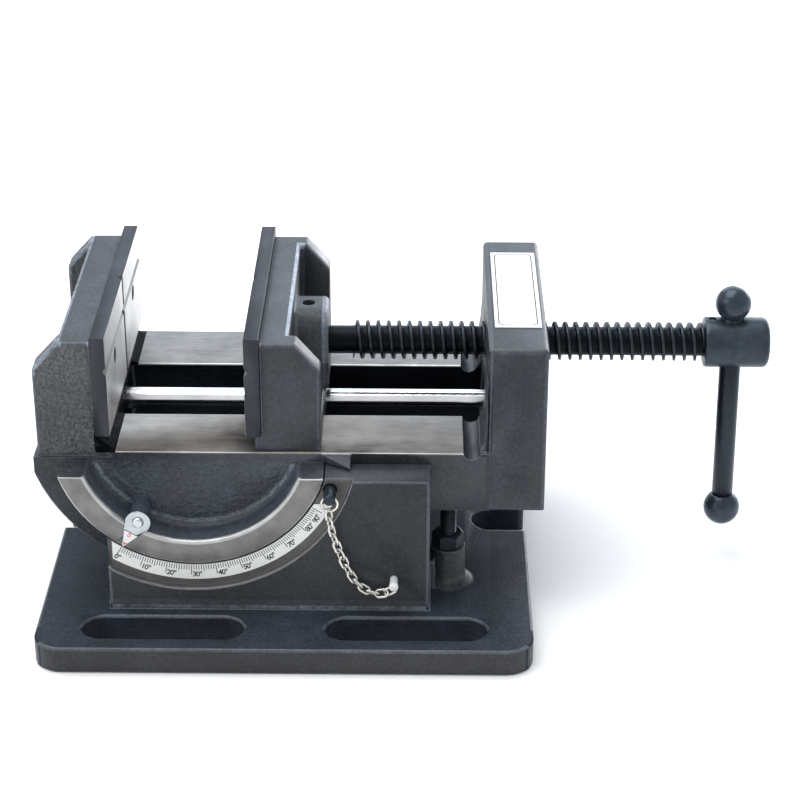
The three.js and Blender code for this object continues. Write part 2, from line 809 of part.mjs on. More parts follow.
// ---- guide rod and its grub screw ----------------------------------------------------------------
add("guide_rod", rod("x", ROD_X0, ROD_X1, [0, ROD_Z], ROD_R, 32), ...BRIGHT);
add(
  "rod_grub_screw",
  cut(rod("z", 43.5, ROD_Z - ROD_R - 0.3, [80, 0], 2.4, 18), rod("z", 43, 46.2, [80, 0], 1.3, 6)),
  ...BLACK,
);

// ---- pointer ---------------------------------------------------------------------------------------
{
  const c = below(POINTER_R, SCALE_ZERO),
    tip = below(47.4, SCALE_ZERO);
  const out = [tip[0] - c[0], tip[1] - c[1]],
    len = Math.hypot(...out),
    u = [out[0] / len, out[1] / len],
    v = [-u[1], u[0]],
    r = 4.4,
    pts = [];
  // round head, straight sides to the tip
  const half = Math.acos(r / len);
  for (let i = 0; i <= 24; i++) {
    const t = half + ((2 * Math.PI - 2 * half) * i) / 24;
    pts.push([
      c[0] + r * (Math.cos(t) * u[0] + Math.sin(t) * v[0]),
      c[1] + r * (Math.cos(t) * u[1] + Math.sin(t) * v[1]),
    ]);
  }
  pts.push([tip[0] + 0.25 * v[0] * -1, tip[1] - 0.25 * v[1]]);
  pts.push([tip[0] + 0.25 * v[0], tip[1] + 0.25 * v[1]]);
  add(
    "angle_pointer",
    cut(prismY(pts, -RING_Y - 0.9, -RING_Y - 0.1), rod("y", -80, -50, c, 1.3, 16)),
    ...PLATED,
  );
  add(
    "pointer_rivet",
    join(
      rod("y", -RING_Y - 1.9, -RING_Y - 1.0, c, 1.5, 20, 2.1),
      rod("y", -RING_Y - 1.1, -RING_Y + 4.5, c, 1.0, 16),
    ),
    ...PLATED,
  );
}

// ---- blank label on the screw block ----------------------------------------------------------------
add("label_plate", box(72.1, 88.3, -29.6, 35.6, BLOCK_TOP + 0.05, BLOCK_TOP + 0.35), ...WHITE);

// ---- locating pin and its split ring ---------------------------------------------------------------
const pinAt = below(PIN_RADIUS, PIN_ANGLE);
const RING_HANG = 2.8,
  RING_LIFT = 0.45;
add(
  "locating_pin",
  cut(
    join(
      rod("y", PIN_Y0 + 0.6, PIN_Y1 - 1, pinAt, PIN_R, 24),
      rod("y", PIN_Y1 - 1.02, PIN_Y1, pinAt, PIN_R, 24, PIN_R - 0.7),
      rod("y", PIN_Y0, PIN_Y0 + 0.62, pinAt, PIN_R - 0.5, 24, PIN_R),
    ),
    rod("x", 0, 40, [EYE_Y, pinAt[1]], 1.3, 14),
  ),
  ...BLACK,
);
{
  const g = new THREE.TorusGeometry(RING_HANG, 0.45, 6, 20);
  g.rotateX(Math.PI / 2);
  g.translate(pinAt[0], EYE_Y, pinAt[1] - RING_HANG + RING_LIFT);
  add("pin_split_ring", solid(g), ...PLATED);
}

// ---- chain and hook ---------------------------------------------------------------------------------
{
  const ringLow = pinAt[1] - 2 * RING_HANG + RING_LIFT;
  const route = new THREE.CatmullRomCurve3(
    [
      [pinAt[0] - 0.4, -66.7, ringLow - 0.9],
      [15.8, -66.8, 44.9],
      [17.4, -66.8, 39.0],
      [19.3, -66.8, 33.4],
      [21.5, -66.8, 27.4],
      [24.0, -66.8, 22.7],
      [26.7, -66.8, 19.9],
      [29.7, -66.8, 18.0],
      [33.0, -66.8, 17.1],
      [34.6, -66.8, 17.2],
    ].map((p) => new THREE.Vector3(...p)),
    false,
    "centripetal",
  );
  const sec = new THREE.Shape();
  for (let i = 0; i < 8; i++) {
    const t = (i / 8) * 2 * Math.PI,
      p = [1.35 * Math.cos(t), 1.35 * Math.sin(t)];
    i ? sec.lineTo(...p) : sec.moveTo(...p);
  }
  sec.closePath();
  add(
    "pin_chain",
    solid(
      new THREE.ExtrudeGeometry(sec, { steps: 16, extrudePath: route, bevelEnabled: false }),
    ),
    ...PLATED,
  );
  // a headed peg in the cheek, which the last link hangs on
  add(
    "chain_peg",
    join(
      rod("y", -68.4, -58, [HOOK_X, HOOK_Z], HOOK_R, 16),
      rod("y", -69, -68.4, [HOOK_X, HOOK_Z], HOOK_R + 0.1, 16, HOOK_R + 0.35),
    ),
    ...PLATED,
  );
}

// ---- level stop: a stud in a boss, with a lock nut -----------------------------------------------------
{
  const c = [STOP_X, STOP_Y];
  const top = SLAB_Z0 - GAP;
  add(
    "level_stop_screw",
    join(
      rod("z", 12, top - 0.8, c, 2.9, 20),
      rod("z", top - 0.82, top, c, 2.9, 20, 2.2),
    ),
    ...BLACK,
  );
  const hex = new THREE.CylinderGeometry(5.77, 5.77, 5, 6);
  hex.rotateX(Math.PI / 2);
  hex.translate(c[0], c[1], STOP_BOSS_TOP + GAP + 2.5);
  const dome = join(
    rod("z", STOP_BOSS_TOP, STOP_BOSS_TOP + 4.4, c, 5.78, 24),
    rod("z", STOP_BOSS_TOP + 4.38, STOP_BOSS_TOP + 6, c, 5.78, 24, 4.2),
  );
  add(
    "level_stop_nut",
    cut(solid(hex).intersect(dome), rod("z", 0, 60, c, 3.2, 20)),
    ...BLACK,
  );
}

// ---- rear clamp: a hooked plate over the rear ring, drawn down by a hexagon bolt -------------------------
{
  const turn = new THREE.Matrix4()
    .makeTranslation(TILT_X, 0, TILT_Z)
    .multiply(new THREE.Matrix4().makeRotationY(rad(-CLAMP_ANGLE)));
  const place = (s) => {
    const g = geometryOf(s);
    g.applyMatrix4(turn);
    return solid(g);
  };
  // made with the tilt axis at the origin and the cheek straight below: a heel on the cheek,
  // a toe on the ring's face and a tooth inside the ring
  const heel = box(-8, 8, CHEEK_OUT + 0.9, CHEEK_OUT + 6.5, -60, -32);
  const toe = box(-8, 8, RING_Y + GAP, CHEEK_OUT + 6, -47, -32);
  const tooth = box(-8, 8, 53, CHEEK_OUT, -45, -32).intersect(
    rod("y", 40, 80, [0, 0], RING_RI - 0.4, 72),
  );
  add(
    "ring_clamp",
    place(cut(join(heel, toe, tooth), rod("y", 40, 80, [0, -CLAMP_BOLT_R], 3.3, 20))),
    ...BLACK,
  );
  add(
    "clamp_washer",
    place(
      cut(
        rod("y", CHEEK_OUT + 6.8, CHEEK_OUT + 8, [0, -CLAMP_BOLT_R], 5.8, 24),
        rod("y", 40, 90, [0, -CLAMP_BOLT_R], 3.3, 20),
      ),
    ),
    ...PLATED,
  );
  const head = new THREE.CylinderGeometry(5.77, 5.77, 4, 6);
  head.translate(0, CHEEK_OUT + 8.3 + 2, -CLAMP_BOLT_R);
  add(
    "clamp_bolt",
    place(join(solid(head), rod("y", 51.5, CHEEK_OUT + 9, [0, -CLAMP_BOLT_R], 2.95, 20))),
    ...BLACK,
  );
}

export default group;
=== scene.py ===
import json
import math

import bmesh
import bpy
from mathutils import Matrix, Vector

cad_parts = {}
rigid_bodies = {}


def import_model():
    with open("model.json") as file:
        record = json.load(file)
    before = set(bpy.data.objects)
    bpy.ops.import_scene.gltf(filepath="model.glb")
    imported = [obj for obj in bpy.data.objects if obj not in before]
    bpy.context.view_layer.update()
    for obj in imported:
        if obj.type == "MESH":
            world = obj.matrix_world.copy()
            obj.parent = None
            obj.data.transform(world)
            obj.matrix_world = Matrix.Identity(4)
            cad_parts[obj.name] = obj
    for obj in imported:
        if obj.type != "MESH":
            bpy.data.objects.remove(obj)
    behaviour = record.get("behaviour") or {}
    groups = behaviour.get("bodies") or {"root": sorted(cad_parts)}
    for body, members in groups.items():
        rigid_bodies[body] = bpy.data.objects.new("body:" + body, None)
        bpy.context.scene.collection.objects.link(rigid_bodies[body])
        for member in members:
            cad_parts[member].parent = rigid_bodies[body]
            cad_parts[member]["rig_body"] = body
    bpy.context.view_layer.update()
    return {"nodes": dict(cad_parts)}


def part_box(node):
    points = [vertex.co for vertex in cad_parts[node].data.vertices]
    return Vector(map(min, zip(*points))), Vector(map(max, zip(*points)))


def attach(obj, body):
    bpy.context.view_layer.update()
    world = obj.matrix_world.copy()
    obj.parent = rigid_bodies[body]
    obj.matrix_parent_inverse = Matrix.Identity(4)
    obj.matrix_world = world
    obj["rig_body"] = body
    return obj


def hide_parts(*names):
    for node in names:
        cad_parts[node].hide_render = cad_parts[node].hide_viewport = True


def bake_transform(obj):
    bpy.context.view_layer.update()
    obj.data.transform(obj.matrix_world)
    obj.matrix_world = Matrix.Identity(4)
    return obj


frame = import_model()
NODES = frame["nodes"]
MM = 0.001

# where the body swings, in millimetres
TILT_X, TILT_Z = -32.0, 74.0
SCALE_ZERO = -31.2
POINTER_R = 36.3
SCREW_Z = 84.0


# ------------------------------------------------------------------------------------------
# camera
# ------------------------------------------------------------------------------------------
scene = bpy.context.scene
cam_data = bpy.data.cameras.new("camera")
cam_data.sensor_width = 36.0
cam_data.lens = 99.452
cam_data.shift_x = -0.0123
cam_data.shift_y = -0.0021
cam_data.clip_start = 0.01
cam_data.clip_end = 20.0
cam = bpy.data.objects.new("camera", cam_data)
scene.collection.objects.link(cam)
right = Vector((0.99996834, 0.00642756, 0.00469145))
up = Vector((-0.00709698, 0.45367385, 0.89113953))
fwd = Vector((-0.00359947, 0.89114461, -0.45370510))
m = Matrix.Identity(4)
for i in range(3):
    m[i][0], m[i][1], m[i][2] = right[i], up[i], -fwd[i]
m.translation = Vector((45.518, -721.629, 427.589)) * MM
cam.matrix_world = m
scene.camera = cam


# ------------------------------------------------------------------------------------------
# mesh helpers; sizes in millimetres, meshes in metres
# ------------------------------------------------------------------------------------------
def new_object(name, bm, materials=(), smooth=True, auto=None):
    bmesh.ops.recalc_face_normals(bm, faces=bm.faces)
    for f in bm.faces:
        f.smooth = smooth
    if auto is not None:
        for e in bm.edges:
            if len(e.link_faces) == 2 and e.calc_face_angle(0) > math.radians(auto):
                e.smooth = False
    me = bpy.data.meshes.new(name)
    bm.to_mesh(me)
    bm.free()
    for mat in materials:
        me.materials.append(mat)
    o = bpy.data.objects.new(name, me)
    scene.collection.objects.link(o)
    return o


def baked(o):
    """The object's mesh with its modifiers applied."""
    bpy.context.view_layer.update()
    deps = bpy.context.evaluated_depsgraph_get()
    me = bpy.data.meshes.new_from_object(
        o.evaluated_get(deps), preserve_all_data_layers=True, depsgraph=deps
    )
    old = o.data
    o.modifiers.clear()
    o.data = me
    bpy.data.meshes.remove(old)
    me.name = o.name
    return o


def from_cad(node, angle=0.6, planes=()):
    """A node's mesh with its flat faces joined. planes are (axis, millimetres) where faces stay parted."""
    bm = bmesh.new()
    bm.from_mesh(NODES[node].data)
    bmesh.ops.remove_doubles(bm, verts=bm.verts, dist=2e-6)
    for axis, at in planes:
        no = Vector((axis == "x", axis == "y", axis == "z"))
        res = bmesh.ops.bisect_plane(
            bm, geom=bm.verts[:] + bm.edges[:] + bm.faces[:], dist=1e-6, plane_co=no * at * MM, plane_no=no
        )
        for g in res["geom_cut"]:
            if isinstance(g, bmesh.types.BMEdge):
                g.seam = True
    bmesh.ops.dissolve_limit(
        bm, angle_limit=math.radians(angle), verts=bm.verts, edges=bm.edges, delimit={"SEAM"}
    )
    # faces with a notch or a hole are parted, so that every corner can be rounded cleanly
    bmesh.ops.connect_verts_concave(bm, faces=bm.faces[:])
    for layer in list(bm.loops.layers.uv):
        bm.loops.layers.uv.remove(layer)
    return bm


def kept_in(o, node):
    """No point of a rounded piece lies outside its node's box."""
    lo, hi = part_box(node)
    for v in o.data.vertices:
        for i in range(3):
            v.co[i] = min(max(v.co[i], lo[i]), hi[i])
    return o


def with_shells(o, *others):
    """Adds closed shells to a piece's own mesh."""
    bm = bmesh.new()
    bm.from_mesh(o.data)
    for other in others:
        bm.from_mesh(other.data)
        me = other.data
        bpy.data.objects.remove(other)
        bpy.data.meshes.remove(me)
    bm.to_mesh(o.data)
    bm.free()
    return o


def bevelled(name, bm, rule, widest, segments, materials, sharp=24):
    """Rounds each edge by its own width. rule gives millimetres for an edge's middle."""
    bmesh.ops.recalc_face_normals(bm, faces=bm.faces)
    layer = bm.edges.layers.float.get("bevel_weight_edge") or bm.edges.layers.float.new(
        "bevel_weight_edge"
    )
    for f in bm.faces:
        f.smooth = True
        f.material_index = 0
    for e in bm.edges:
        e.smooth = True
        w = 0.0
        if len(e.link_faces) == 2:
            a = e.calc_face_angle(0)
            if a > math.radians(sharp):
                mid = (e.verts[0].co + e.verts[1].co) * 500.0
                w = rule(mid, e, not e.is_convex, math.degrees(a))
                if w == 0:
                    e.smooth = False
            elif a > math.radians(7) and any(abs(f.normal.z) > 0.95 and f.calc_area() > 1.2e-4 for f in e.link_faces):
                # a wide flat face stays flat beside a cove
                e.smooth = False
        e[layer] = min(1.0, max(0.0, w / widest))
    me = bpy.data.meshes.new(name)
    bm.to_mesh(me)
    bm.free()
    for mat in materials:
        me.materials.append(mat)
    o = bpy.data.objects.new(name, me)
    scene.collection.objects.link(o)
    b = o.modifiers.new("round", "BEVEL")
    b.limit_method = "WEIGHT"
    b.width = widest * MM
    b.segments = segments
    b.profile = 0.5
    b.use_clamp_overlap = False
    b.harden_normals = True
    b.miter_outer = "MITER_SHARP"
    if len(materials) > 1:
        b.material = 1
    return baked(o)


def lathe(profile, axis="z", steps=96, centre=(0, 0)):
    """A closed body turned about an axis; profile is (radius, place along the axis), from end to end."""
    bm = bmesh.new()
    rings = []
    for r, h in profile:
        if r < 1e-6:
            rings.append([bm.verts.new(place(axis, h, 0, 0, centre))])
        else:
            rings.append(
                [
                    bm.verts.new(
                        place(
                            axis,
                            h,
                            r * math.cos(2 * math.pi * k / steps),
                            r * math.sin(2 * math.pi * k / steps),
                            centre,
                        )
                    )
                    for k in range(steps)
                ]
            )
    for a, b in zip(rings, rings[1:]):
        for k in range(steps):
            k2 = (k + 1) % steps
            if len(a) == 1 and len(b) == 1:
                continue
            if len(a) == 1:
                bm.faces.new((a[0], b[k], b[k2]))
            elif len(b) == 1:
                bm.faces.new((a[k], b[0], a[k2]))
            else:
                bm.faces.new((a[k], b[k], b[k2], a[k2]))
    return bm


def place(axis, h, p, q, c):
    if axis == "x":
        return Vector((h, c[0] + p, c[1] + q)) * MM
    if axis == "y":
        return Vector((c[0] + p, h, c[1] + q)) * MM
    return Vector((c[0] + p, c[1] + q, h)) * MM


def moved(bm, matrix):
    bmesh.ops.transform(bm, matrix=matrix, verts=bm.verts)
    return bm


def carve(o, *cutters, op="DIFFERENCE"):
    """Booleans in turn; the cutters are removed."""
    for c in cutters:
        md = o.modifiers.new("cut", "BOOLEAN")
        md.object = c
        md.operation = op
        md.solver = "EXACT"
    baked(o)
    for c in cutters:
        me = c.data
        bpy.data.objects.remove(c)
        bpy.data.meshes.remove(me)
    return o


def shade(o, auto=35):
    """Smooth shading with creases where faces meet at more than an angle."""
    bm = bmesh.new()
    bm.from_mesh(o.data)
    for f in bm.faces:
        f.smooth = True
    for e in bm.edges:
        e.smooth = not (
            len(e.link_faces) == 2 and e.calc_face_angle(0) > math.radians(auto)
        )
    bm.to_mesh(o.data)
    bm.free()
    return o


def helicoid(r, core, pitch, x0, x1, crest, flank, steps=40, axis="x", c=(0, 0), hand=1, round_=0.12):
    """One threaded skin along an axis with rounded crests and roots, closed at both ends."""
    prof = []
    root = pitch - crest - 2 * flank
    pts = [
        (0.0, core),
        (round_, core + round_ * 0.55),
        (flank - round_, r - round_ * 0.9),
        (flank + round_ * 0.5, r),
        (flank + crest - round_ * 0.5, r),
        (flank + crest + round_, r - round_ * 0.9),
        (2 * flank + crest - round_, core + round_ * 0.55),
        (2 * flank + crest, core),
        (2 * flank + crest + root * 0.5, core),
    ]
    prof = pts
    n = len(prof)
    turns = (x1 - x0) / pitch + 2
    total = int(turns * steps)
    bm = bmesh.new()
    grid = []
    for i in range(total + 1):
        t = hand * 2 * math.pi * i / steps
        x = x0 - pitch + pitch * i / steps
        grid.append(
            [
                bm.verts.new(place(axis, x + dx, rr * math.cos(t), rr * math.sin(t), c))
                for dx, rr in prof
            ]
        )
    for i in range(total):
        for k in range(n):
            if k < n - 1:
                bm.faces.new((grid[i][k], grid[i][k + 1], grid[i + 1][k + 1], grid[i + 1][k]))
            elif i + 1 + steps <= total:
                bm.faces.new(
                    (grid[i][k], grid[i + steps][0], grid[i + 1 + steps][0], grid[i + 1][k])
                )
    # cut both ends square and close them
    normal = {"x": (1, 0, 0), "y": (0, 1, 0), "z": (0, 0, 1)}[axis]
    for at, keep_low in ((x0, False), (x1, True)):
        res = bmesh.ops.bisect_plane(
            bm,
            geom=bm.verts[:] + bm.edges[:] + bm.faces[:],
            plane_co=place(axis, at, 0, 0, c),
            plane_no=normal,
            clear_outer=keep_low,
            clear_inner=not keep_low,
        )
        edges = [g for g in res["geom_cut"] if isinstance(g, bmesh.types.BMEdge)]
        bmesh.ops.holes_fill(bm, edges=edges, sides=0)
    bmesh.ops.remove_doubles(bm, verts=bm.verts, dist=1e-7)
    return bm


# ------------------------------------------------------------------------------------------
# material helpers
# ------------------------------------------------------------------------------------------
class Graph:
    def __init__(self, name):
        self.mat = bpy.data.materials.new(name)
        self.mat.use_nodes = True
        self.tree = self.mat.node_tree
        self.tree.nodes.clear()
        self.out = self.node("ShaderNodeOutputMaterial")
        self.bsdf = self.node("ShaderNodeBsdfPrincipled")
        self.tree.links.new(self.bsdf.outputs[0], self.out.inputs["Surface"])
        self.obj = self.node("ShaderNodeTexCoord").outputs["Object"]

    def node(self, kind, **props):
        n = self.tree.nodes.new(kind)
        for k, v in props.items():
            setattr(n, k, v)
        return n

    def put(self, socket, value):
        if isinstance(value, bpy.types.NodeSocket):
            self.tree.links.new(value, socket)
        elif isinstance(value, (tuple, list)) and len(value) == 3 and socket.type == "RGBA":
            socket.default_value = (*value, 1.0)
        else:
            socket.default_value = value

    def set(self, **kw):
        for k, v in kw.items():
            self.put(self.bsdf.inputs[k.replace("_", " ")], v)
        return self

    def math(self, op, a, b=None, c=None, clamp=False):
        n = self.node("ShaderNodeMath", operation=op, use_clamp=clamp)
        for i, v in enumerate((a, b, c)):
            if v is not None:
                self.put(n.inputs[i], v)
        return n.outputs[0]

    def vec(self, op, a, b=None):
        n = self.node("ShaderNodeVectorMath", operation=op)
        self.put(n.inputs[0], a)
        if b is not None:
            self.put(n.inputs[1], b)
        return n.outputs["Value"] if op in ("LENGTH", "DOT_PRODUCT") else n.outputs[0]

    def xyz(self):
        s = self.node("ShaderNodeSeparateXYZ")
        self.put(s.inputs[0], self.obj)
        return s.outputs

    def mapped(self, scale=(1, 1, 1), rotation=(0, 0, 0)):
        n = self.node("ShaderNodeMapping")
        self.put(n.inputs["Vector"], self.obj)
        n.inputs["Scale"].default_value = scale
        n.inputs["Rotation"].default_value = rotation
        return n.outputs[0]

    def noise(self, scale, detail=2.0, rough=0.5, vector=None, distortion=0.0):
        n = self.node("ShaderNodeTexNoise")
        self.put(n.inputs["Vector"], self.obj if vector is None else vector)
        n.inputs["Scale"].default_value = scale
        n.inputs["Detail"].default_value = detail
        n.inputs["Roughness"].default_value = rough
        n.inputs["Distortion"].default_value = distortion
        return n.outputs["Fac"]

    def voronoi(self, scale, feature="F1"):
        n = self.node("ShaderNodeTexVoronoi", feature=feature)
        self.put(n.inputs["Vector"], self.obj)
        n.inputs["Scale"].default_value = scale
        return n.outputs["Distance"]

    def ramp(self, fac, *stops):
        n = self.node("ShaderNodeValToRGB")
        self.put(n.inputs[0], fac)
        el = n.color_ramp.elements
        el[0].position, el[0].color = stops[0][0], (*stops[0][1], 1)
        el[1].position, el[1].color = stops[-1][0], (*stops[-1][1], 1)
        for p, col in stops[1:-1]:
            e = el.new(p)
            e.color = (*col, 1)
        return n.outputs[0]

    def span(self, value, a, b, lo=0.0, hi=1.0):
        n = self.node("ShaderNodeMapRange")
        self.put(n.inputs["Value"], value)
        n.inputs["From Min"].default_value = a
        n.inputs["From Max"].default_value = b
        n.inputs["To Min"].default_value = lo
        n.inputs["To Max"].default_value = hi
        return n.outputs[0]

    def mix(self, fac, a, b, blend="MIX"):
        n = self.node("ShaderNodeMix", data_type="RGBA", blend_type=blend)
        self.put(n.inputs[0], fac)
        self.put(n.inputs[6], a)
        self.put(n.inputs[7], b)
        return n.outputs[2]

    def mixf(self, fac, a, b):
        n = self.node("ShaderNodeMix", data_type="FLOAT")
        self.put(n.inputs[0], fac)
        self.put(n.inputs[2], a)
        self.put(n.inputs[3], b)
        return n.outputs[0]

    def bump(self, height, strength=0.3, distance=0.0002):
        n = self.node("ShaderNodeBump")
        self.put(n.inputs["Height"], height)
        self.put(n.inputs["Strength"], strength)
        n.inputs["Distance"].default_value = distance
        return n.outputs[0]

    def above(self, v, t):
        return self.math("GREATER_THAN", v, t)

    def under(self, v, t):
        return self.math("LESS_THAN", v, t)

    def both(self, *values):
        out = values[0]
        for v in values[1:]:
            out = self.math("MULTIPLY", out, v)
        return out

    def either(self, *values):
        out = values[0]
        for v in values[1:]:
            out = self.math("MAXIMUM", out, v)
        return out

    def radius(self):
        """Distance from the tilt axis."""
        flat = self.vec("MULTIPLY", self.vec("SUBTRACT", self.obj, (TILT_X * MM, 0, TILT_Z * MM)), (1, 0, 1))
        return self.vec("LENGTH", flat)


PAINT_DARK, PAINT_MID, PAINT_LIGHT = (
    (0.017, 0.020, 0.025),
    (0.025, 0.029, 0.036),
    (0.038, 0.044, 0.054),
)


def paint_parts(g, lift=0.0):
    """Colour, roughness and height of the thin paint over sand-cast iron."""
    coarse = g.span(g.noise(140, 3, 0.55), 0.32, 0.68)
    fine = g.span(g.noise(1500, 3, 0.6), 0.3, 0.7)
    grains = g.span(g.noise(850, 2, 0.45), 0.32, 0.68)
    broad = g.span(g.noise(26, 3, 0.5), 0.35, 0.65)
    tone = g.math("ADD", g.math("MULTIPLY", coarse, 0.30), g.math("MULTIPLY", broad, 0.30))
    tone = g.math("ADD", tone, g.math("MULTIPLY", grains, 0.40))
    dark = tuple(v * (1 + lift) for v in PAINT_DARK)
    mid = tuple(v * (1 + lift) for v in PAINT_MID)
    light = tuple(v * (1 + lift) for v in PAINT_LIGHT)
    colour = g.ramp(tone, (0.22, dark), (0.50, mid), (0.82, light))
    rough = g.span(g.math("ADD", g.math("MULTIPLY", fine, 0.5), g.math("MULTIPLY", coarse, 0.5)), 0.2, 0.8, 0.38, 0.54)
    height = g.math(
        "ADD",
        g.math("MULTIPLY", grains, 0.60),
        g.math("ADD", g.math("MULTIPLY", fine, 0.20), g.math("MULTIPLY", coarse, 0.35)),
    )
    return colour, rough, height


def cast_material(name, zones=None, grain=None, lift=0.0, tint=None):
    """Paint over cast iron. zones(g) gives a mask of ground metal, its colour and its roughness;
    tint(g) gives a mask, a paint colour's factor and a specular level for a part of the casting."""
    g = Graph(name)
    colour, rough, height = paint_parts(g, lift=lift)
    strength = 0.35 if grain is None else grain(g)
    metallic = 0.0
    specular = 0.5
    if tint:
        for mask, factor, level, extra in tint(g):
            colour = g.mix(mask, colour, g.mix(1.0, colour, factor, "MULTIPLY"))
            specular = g.mixf(mask, specular, level)
            rough = g.math("ADD", rough, g.math("MULTIPLY", mask, extra))
    if zones:
        mask, mcol, mrough, mheight = zones(g)
        colour = g.mix(mask, colour, mcol)
        rough = g.mixf(mask, rough, mrough)
        metallic = g.math("MULTIPLY", mask, 0.95)
        strength = g.mixf(mask, strength, 0.12)
        height = g.mixf(mask, height, mheight)
    g.set(
        Base_Color=colour,
        Roughness=rough,
        Metallic=metallic,
        Specular_IOR_Level=specular,
        Normal=g.bump(height, strength, 0.0004),
    )
    return g.mat


def ground_iron(g, tone=(0.46, 0.46, 0.455), along=0.0):
    """Ground cast iron: fine lines one way, a mottled grey, dull stains."""
    lines = g.span(g.noise(1.0, 3, 0.6, vector=g.mapped((130, 1900, 130), (0, 0, along))), 0.32, 0.68)
    wide = g.span(g.noise(1.0, 3, 0.6, vector=g.mapped((60, 420, 60), (0, 0, along))), 0.32, 0.68)
    mott = g.span(g.noise(150, 4, 0.6), 0.32, 0.68)
    stain = g.span(g.noise(38, 3, 0.55), 0.34, 0.66)
    t = g.math("ADD", g.math("MULTIPLY", lines, 0.35), g.math("MULTIPLY", mott, 0.35))
    t = g.math("ADD", t, g.math("MULTIPLY", stain, 0.30))
    c = g.ramp(
        t,
        (0.20, tuple(v * 0.74 for v in tone)),
        (0.50, tone),
        (0.80, tuple(min(1, v * 1.20) for v in tone)),
    )
    r = g.math("ADD", g.math("MULTIPLY", wide, 0.14), g.math("MULTIPLY", mott, 0.10))
    r = g.math("ADD", r, 0.30)
    return c, r, lines


# ------------------------------------------------------------------------------------------
# materials
# ------------------------------------------------------------------------------------------
def body_zones(g):
    x, y, z = g.xyz()
    ay = g.math("ABSOLUTE", y)
    rr = g.radius()
    ways = g.both(g.above(z, 0.0632), g.under(z, 0.0640), g.above(ay, 0.0200), g.under(ay, 0.0492), g.above(x, -0.0590), g.under(x, 0.0616))
    face = g.both(g.above(ay, 0.06125), g.under(z, 0.0602), g.above(rr, 0.0385), g.under(rr, 0.0484))
    rim = g.both(g.above(ay, 0.0600), g.above(rr, 0.0385), g.under(rr, 0.0402), g.under(z, 0.0602))
    bore = g.both(g.under(g.vec("LENGTH", g.vec("SUBTRACT", g.vec("MULTIPLY", g.obj, (0, 1, 1)), (0, 0, SCREW_Z * MM))), 0.0076), g.above(x, 0.066))
    mask = g.either(ways, face, rim, bore)
    wc, wr, wh = ground_iron(g, (0.324, 0.306, 0.286), 0.35)
    wc = g.mix(g.above(y, 0.0), wc, g.mix(1.0, wc, (0.74, 0.76, 0.78), "MULTIPLY"))
    wr = g.math("ADD", wr, 0.08)
    fc, fr, fh = ground_iron(g, (0.245, 0.243, 0.238), 0.0)
    colour = g.mix(ways, fc, wc)
    colour = g.mix(rim, colour, (0.45, 0.45, 0.445))
    return mask, colour, g.mixf(ways, g.math("ADD", fr, 0.12), wr), wh


def body_grain(g):
    x, y, z = g.xyz()
    end = g.both(g.under(x, -0.0605), g.above(z, 0.050))
    web = g.both(g.under(g.radius(), 0.0385), g.under(z, 0.0605))
    top = g.above(z, 0.1012)
    s = g.mixf(end, 0.30, 1.0)
    s = g.mixf(web, s, 1.0)
    return g.mixf(top, s, 0.12)


def body_tint(g):
    """The fixed jaw's end faces are a warmer, lighter grey; tops are smoother."""
    x, y, z = g.xyz()
    ay = g.math("ABSOLUTE", y)
    end = g.both(g.under(x, -0.0600), g.above(ay, 0.0405), g.above(z, 0.0612), g.under(z, 0.1035))
    web = g.both(g.under(g.radius(), 0.0400), g.under(z, 0.0605))
    lug_x = TILT_X + POINTER_R * math.sin(math.radians(SCALE_ZERO))
    lug_z = TILT_Z - POINTER_R * math.cos(math.radians(SCALE_ZERO))
    apart = g.vec("SUBTRACT", g.vec("MULTIPLY", g.obj, (1, 0, 1)), (lug_x * MM, 0, lug_z * MM))
    lug = g.both(g.under(g.vec("LENGTH", apart), 0.0041), g.above(ay, 0.0492))
    rr = g.radius()
    # painted highlight, in patches, along the web's fillet
    patchy_highlight = g.span(g.noise(420, 3, 0.6), 0.36, 0.66, 0.25, 1.0)
    fillet_highlight = g.math("MULTIPLY", g.both(g.above(rr, 0.0366), g.under(rr, 0.0378), g.above(ay, 0.0488), g.under(ay, 0.0512), g.under(z, 0.0597)), patchy_highlight)
    low = g.both(g.under(x, -0.0600), g.above(ay, 0.0405), g.above(z, 0.0300), g.under(z, 0.0610))
    # painted shade in the space under the fixed plate, at its foot
    plate_gap_shade = g.both(g.above(x, -0.0664), g.under(x, -0.0581), g.above(z, 0.0632), g.under(z, 0.0703))
    # painted shade: the deep slot between the ways is darkened
    bed_slot_shade = g.both(g.under(ay, 0.0206), g.under(z, 0.0630), g.above(x, -0.0620), g.under(x, 0.0700))
    speck = g.span(g.noise(1050, 2, 0.5), 0.40, 0.64)
    pits = g.span(g.noise(900, 3, 0.55), 0.53, 0.68)
    top = g.both(g.above(z, 0.1041), g.under(x, -0.0600))
    return (
        (end, (1.7, 1.52, 1.32), 0.5, 0.06),
        (g.math("MULTIPLY", end, speck), (1.9, 1.9, 1.8), 0.5, 0.0),
        (g.math("MULTIPLY", end, pits), (0.62, 0.63, 0.65), 0.3, 0.0),
        (low, (1.05, 1.02, 1.0), 0.35, 0.06),
        (web, (1.3, 1.4, 1.5), 0.5, 0.04),
        (fillet_highlight, (3.6, 3.4, 3.1), 0.6, 0.04),
        (lug, (1.0, 1.05, 1.1), 0.15, 0.10),
        (plate_gap_shade, (0.15, 0.16, 0.18), 0.06, 0.15),
        (bed_slot_shade, (0.20, 0.21, 0.23), 0.04, 0.10),
        (top, (1.0, 1.0, 1.0), 0.36, 0.02),
    )


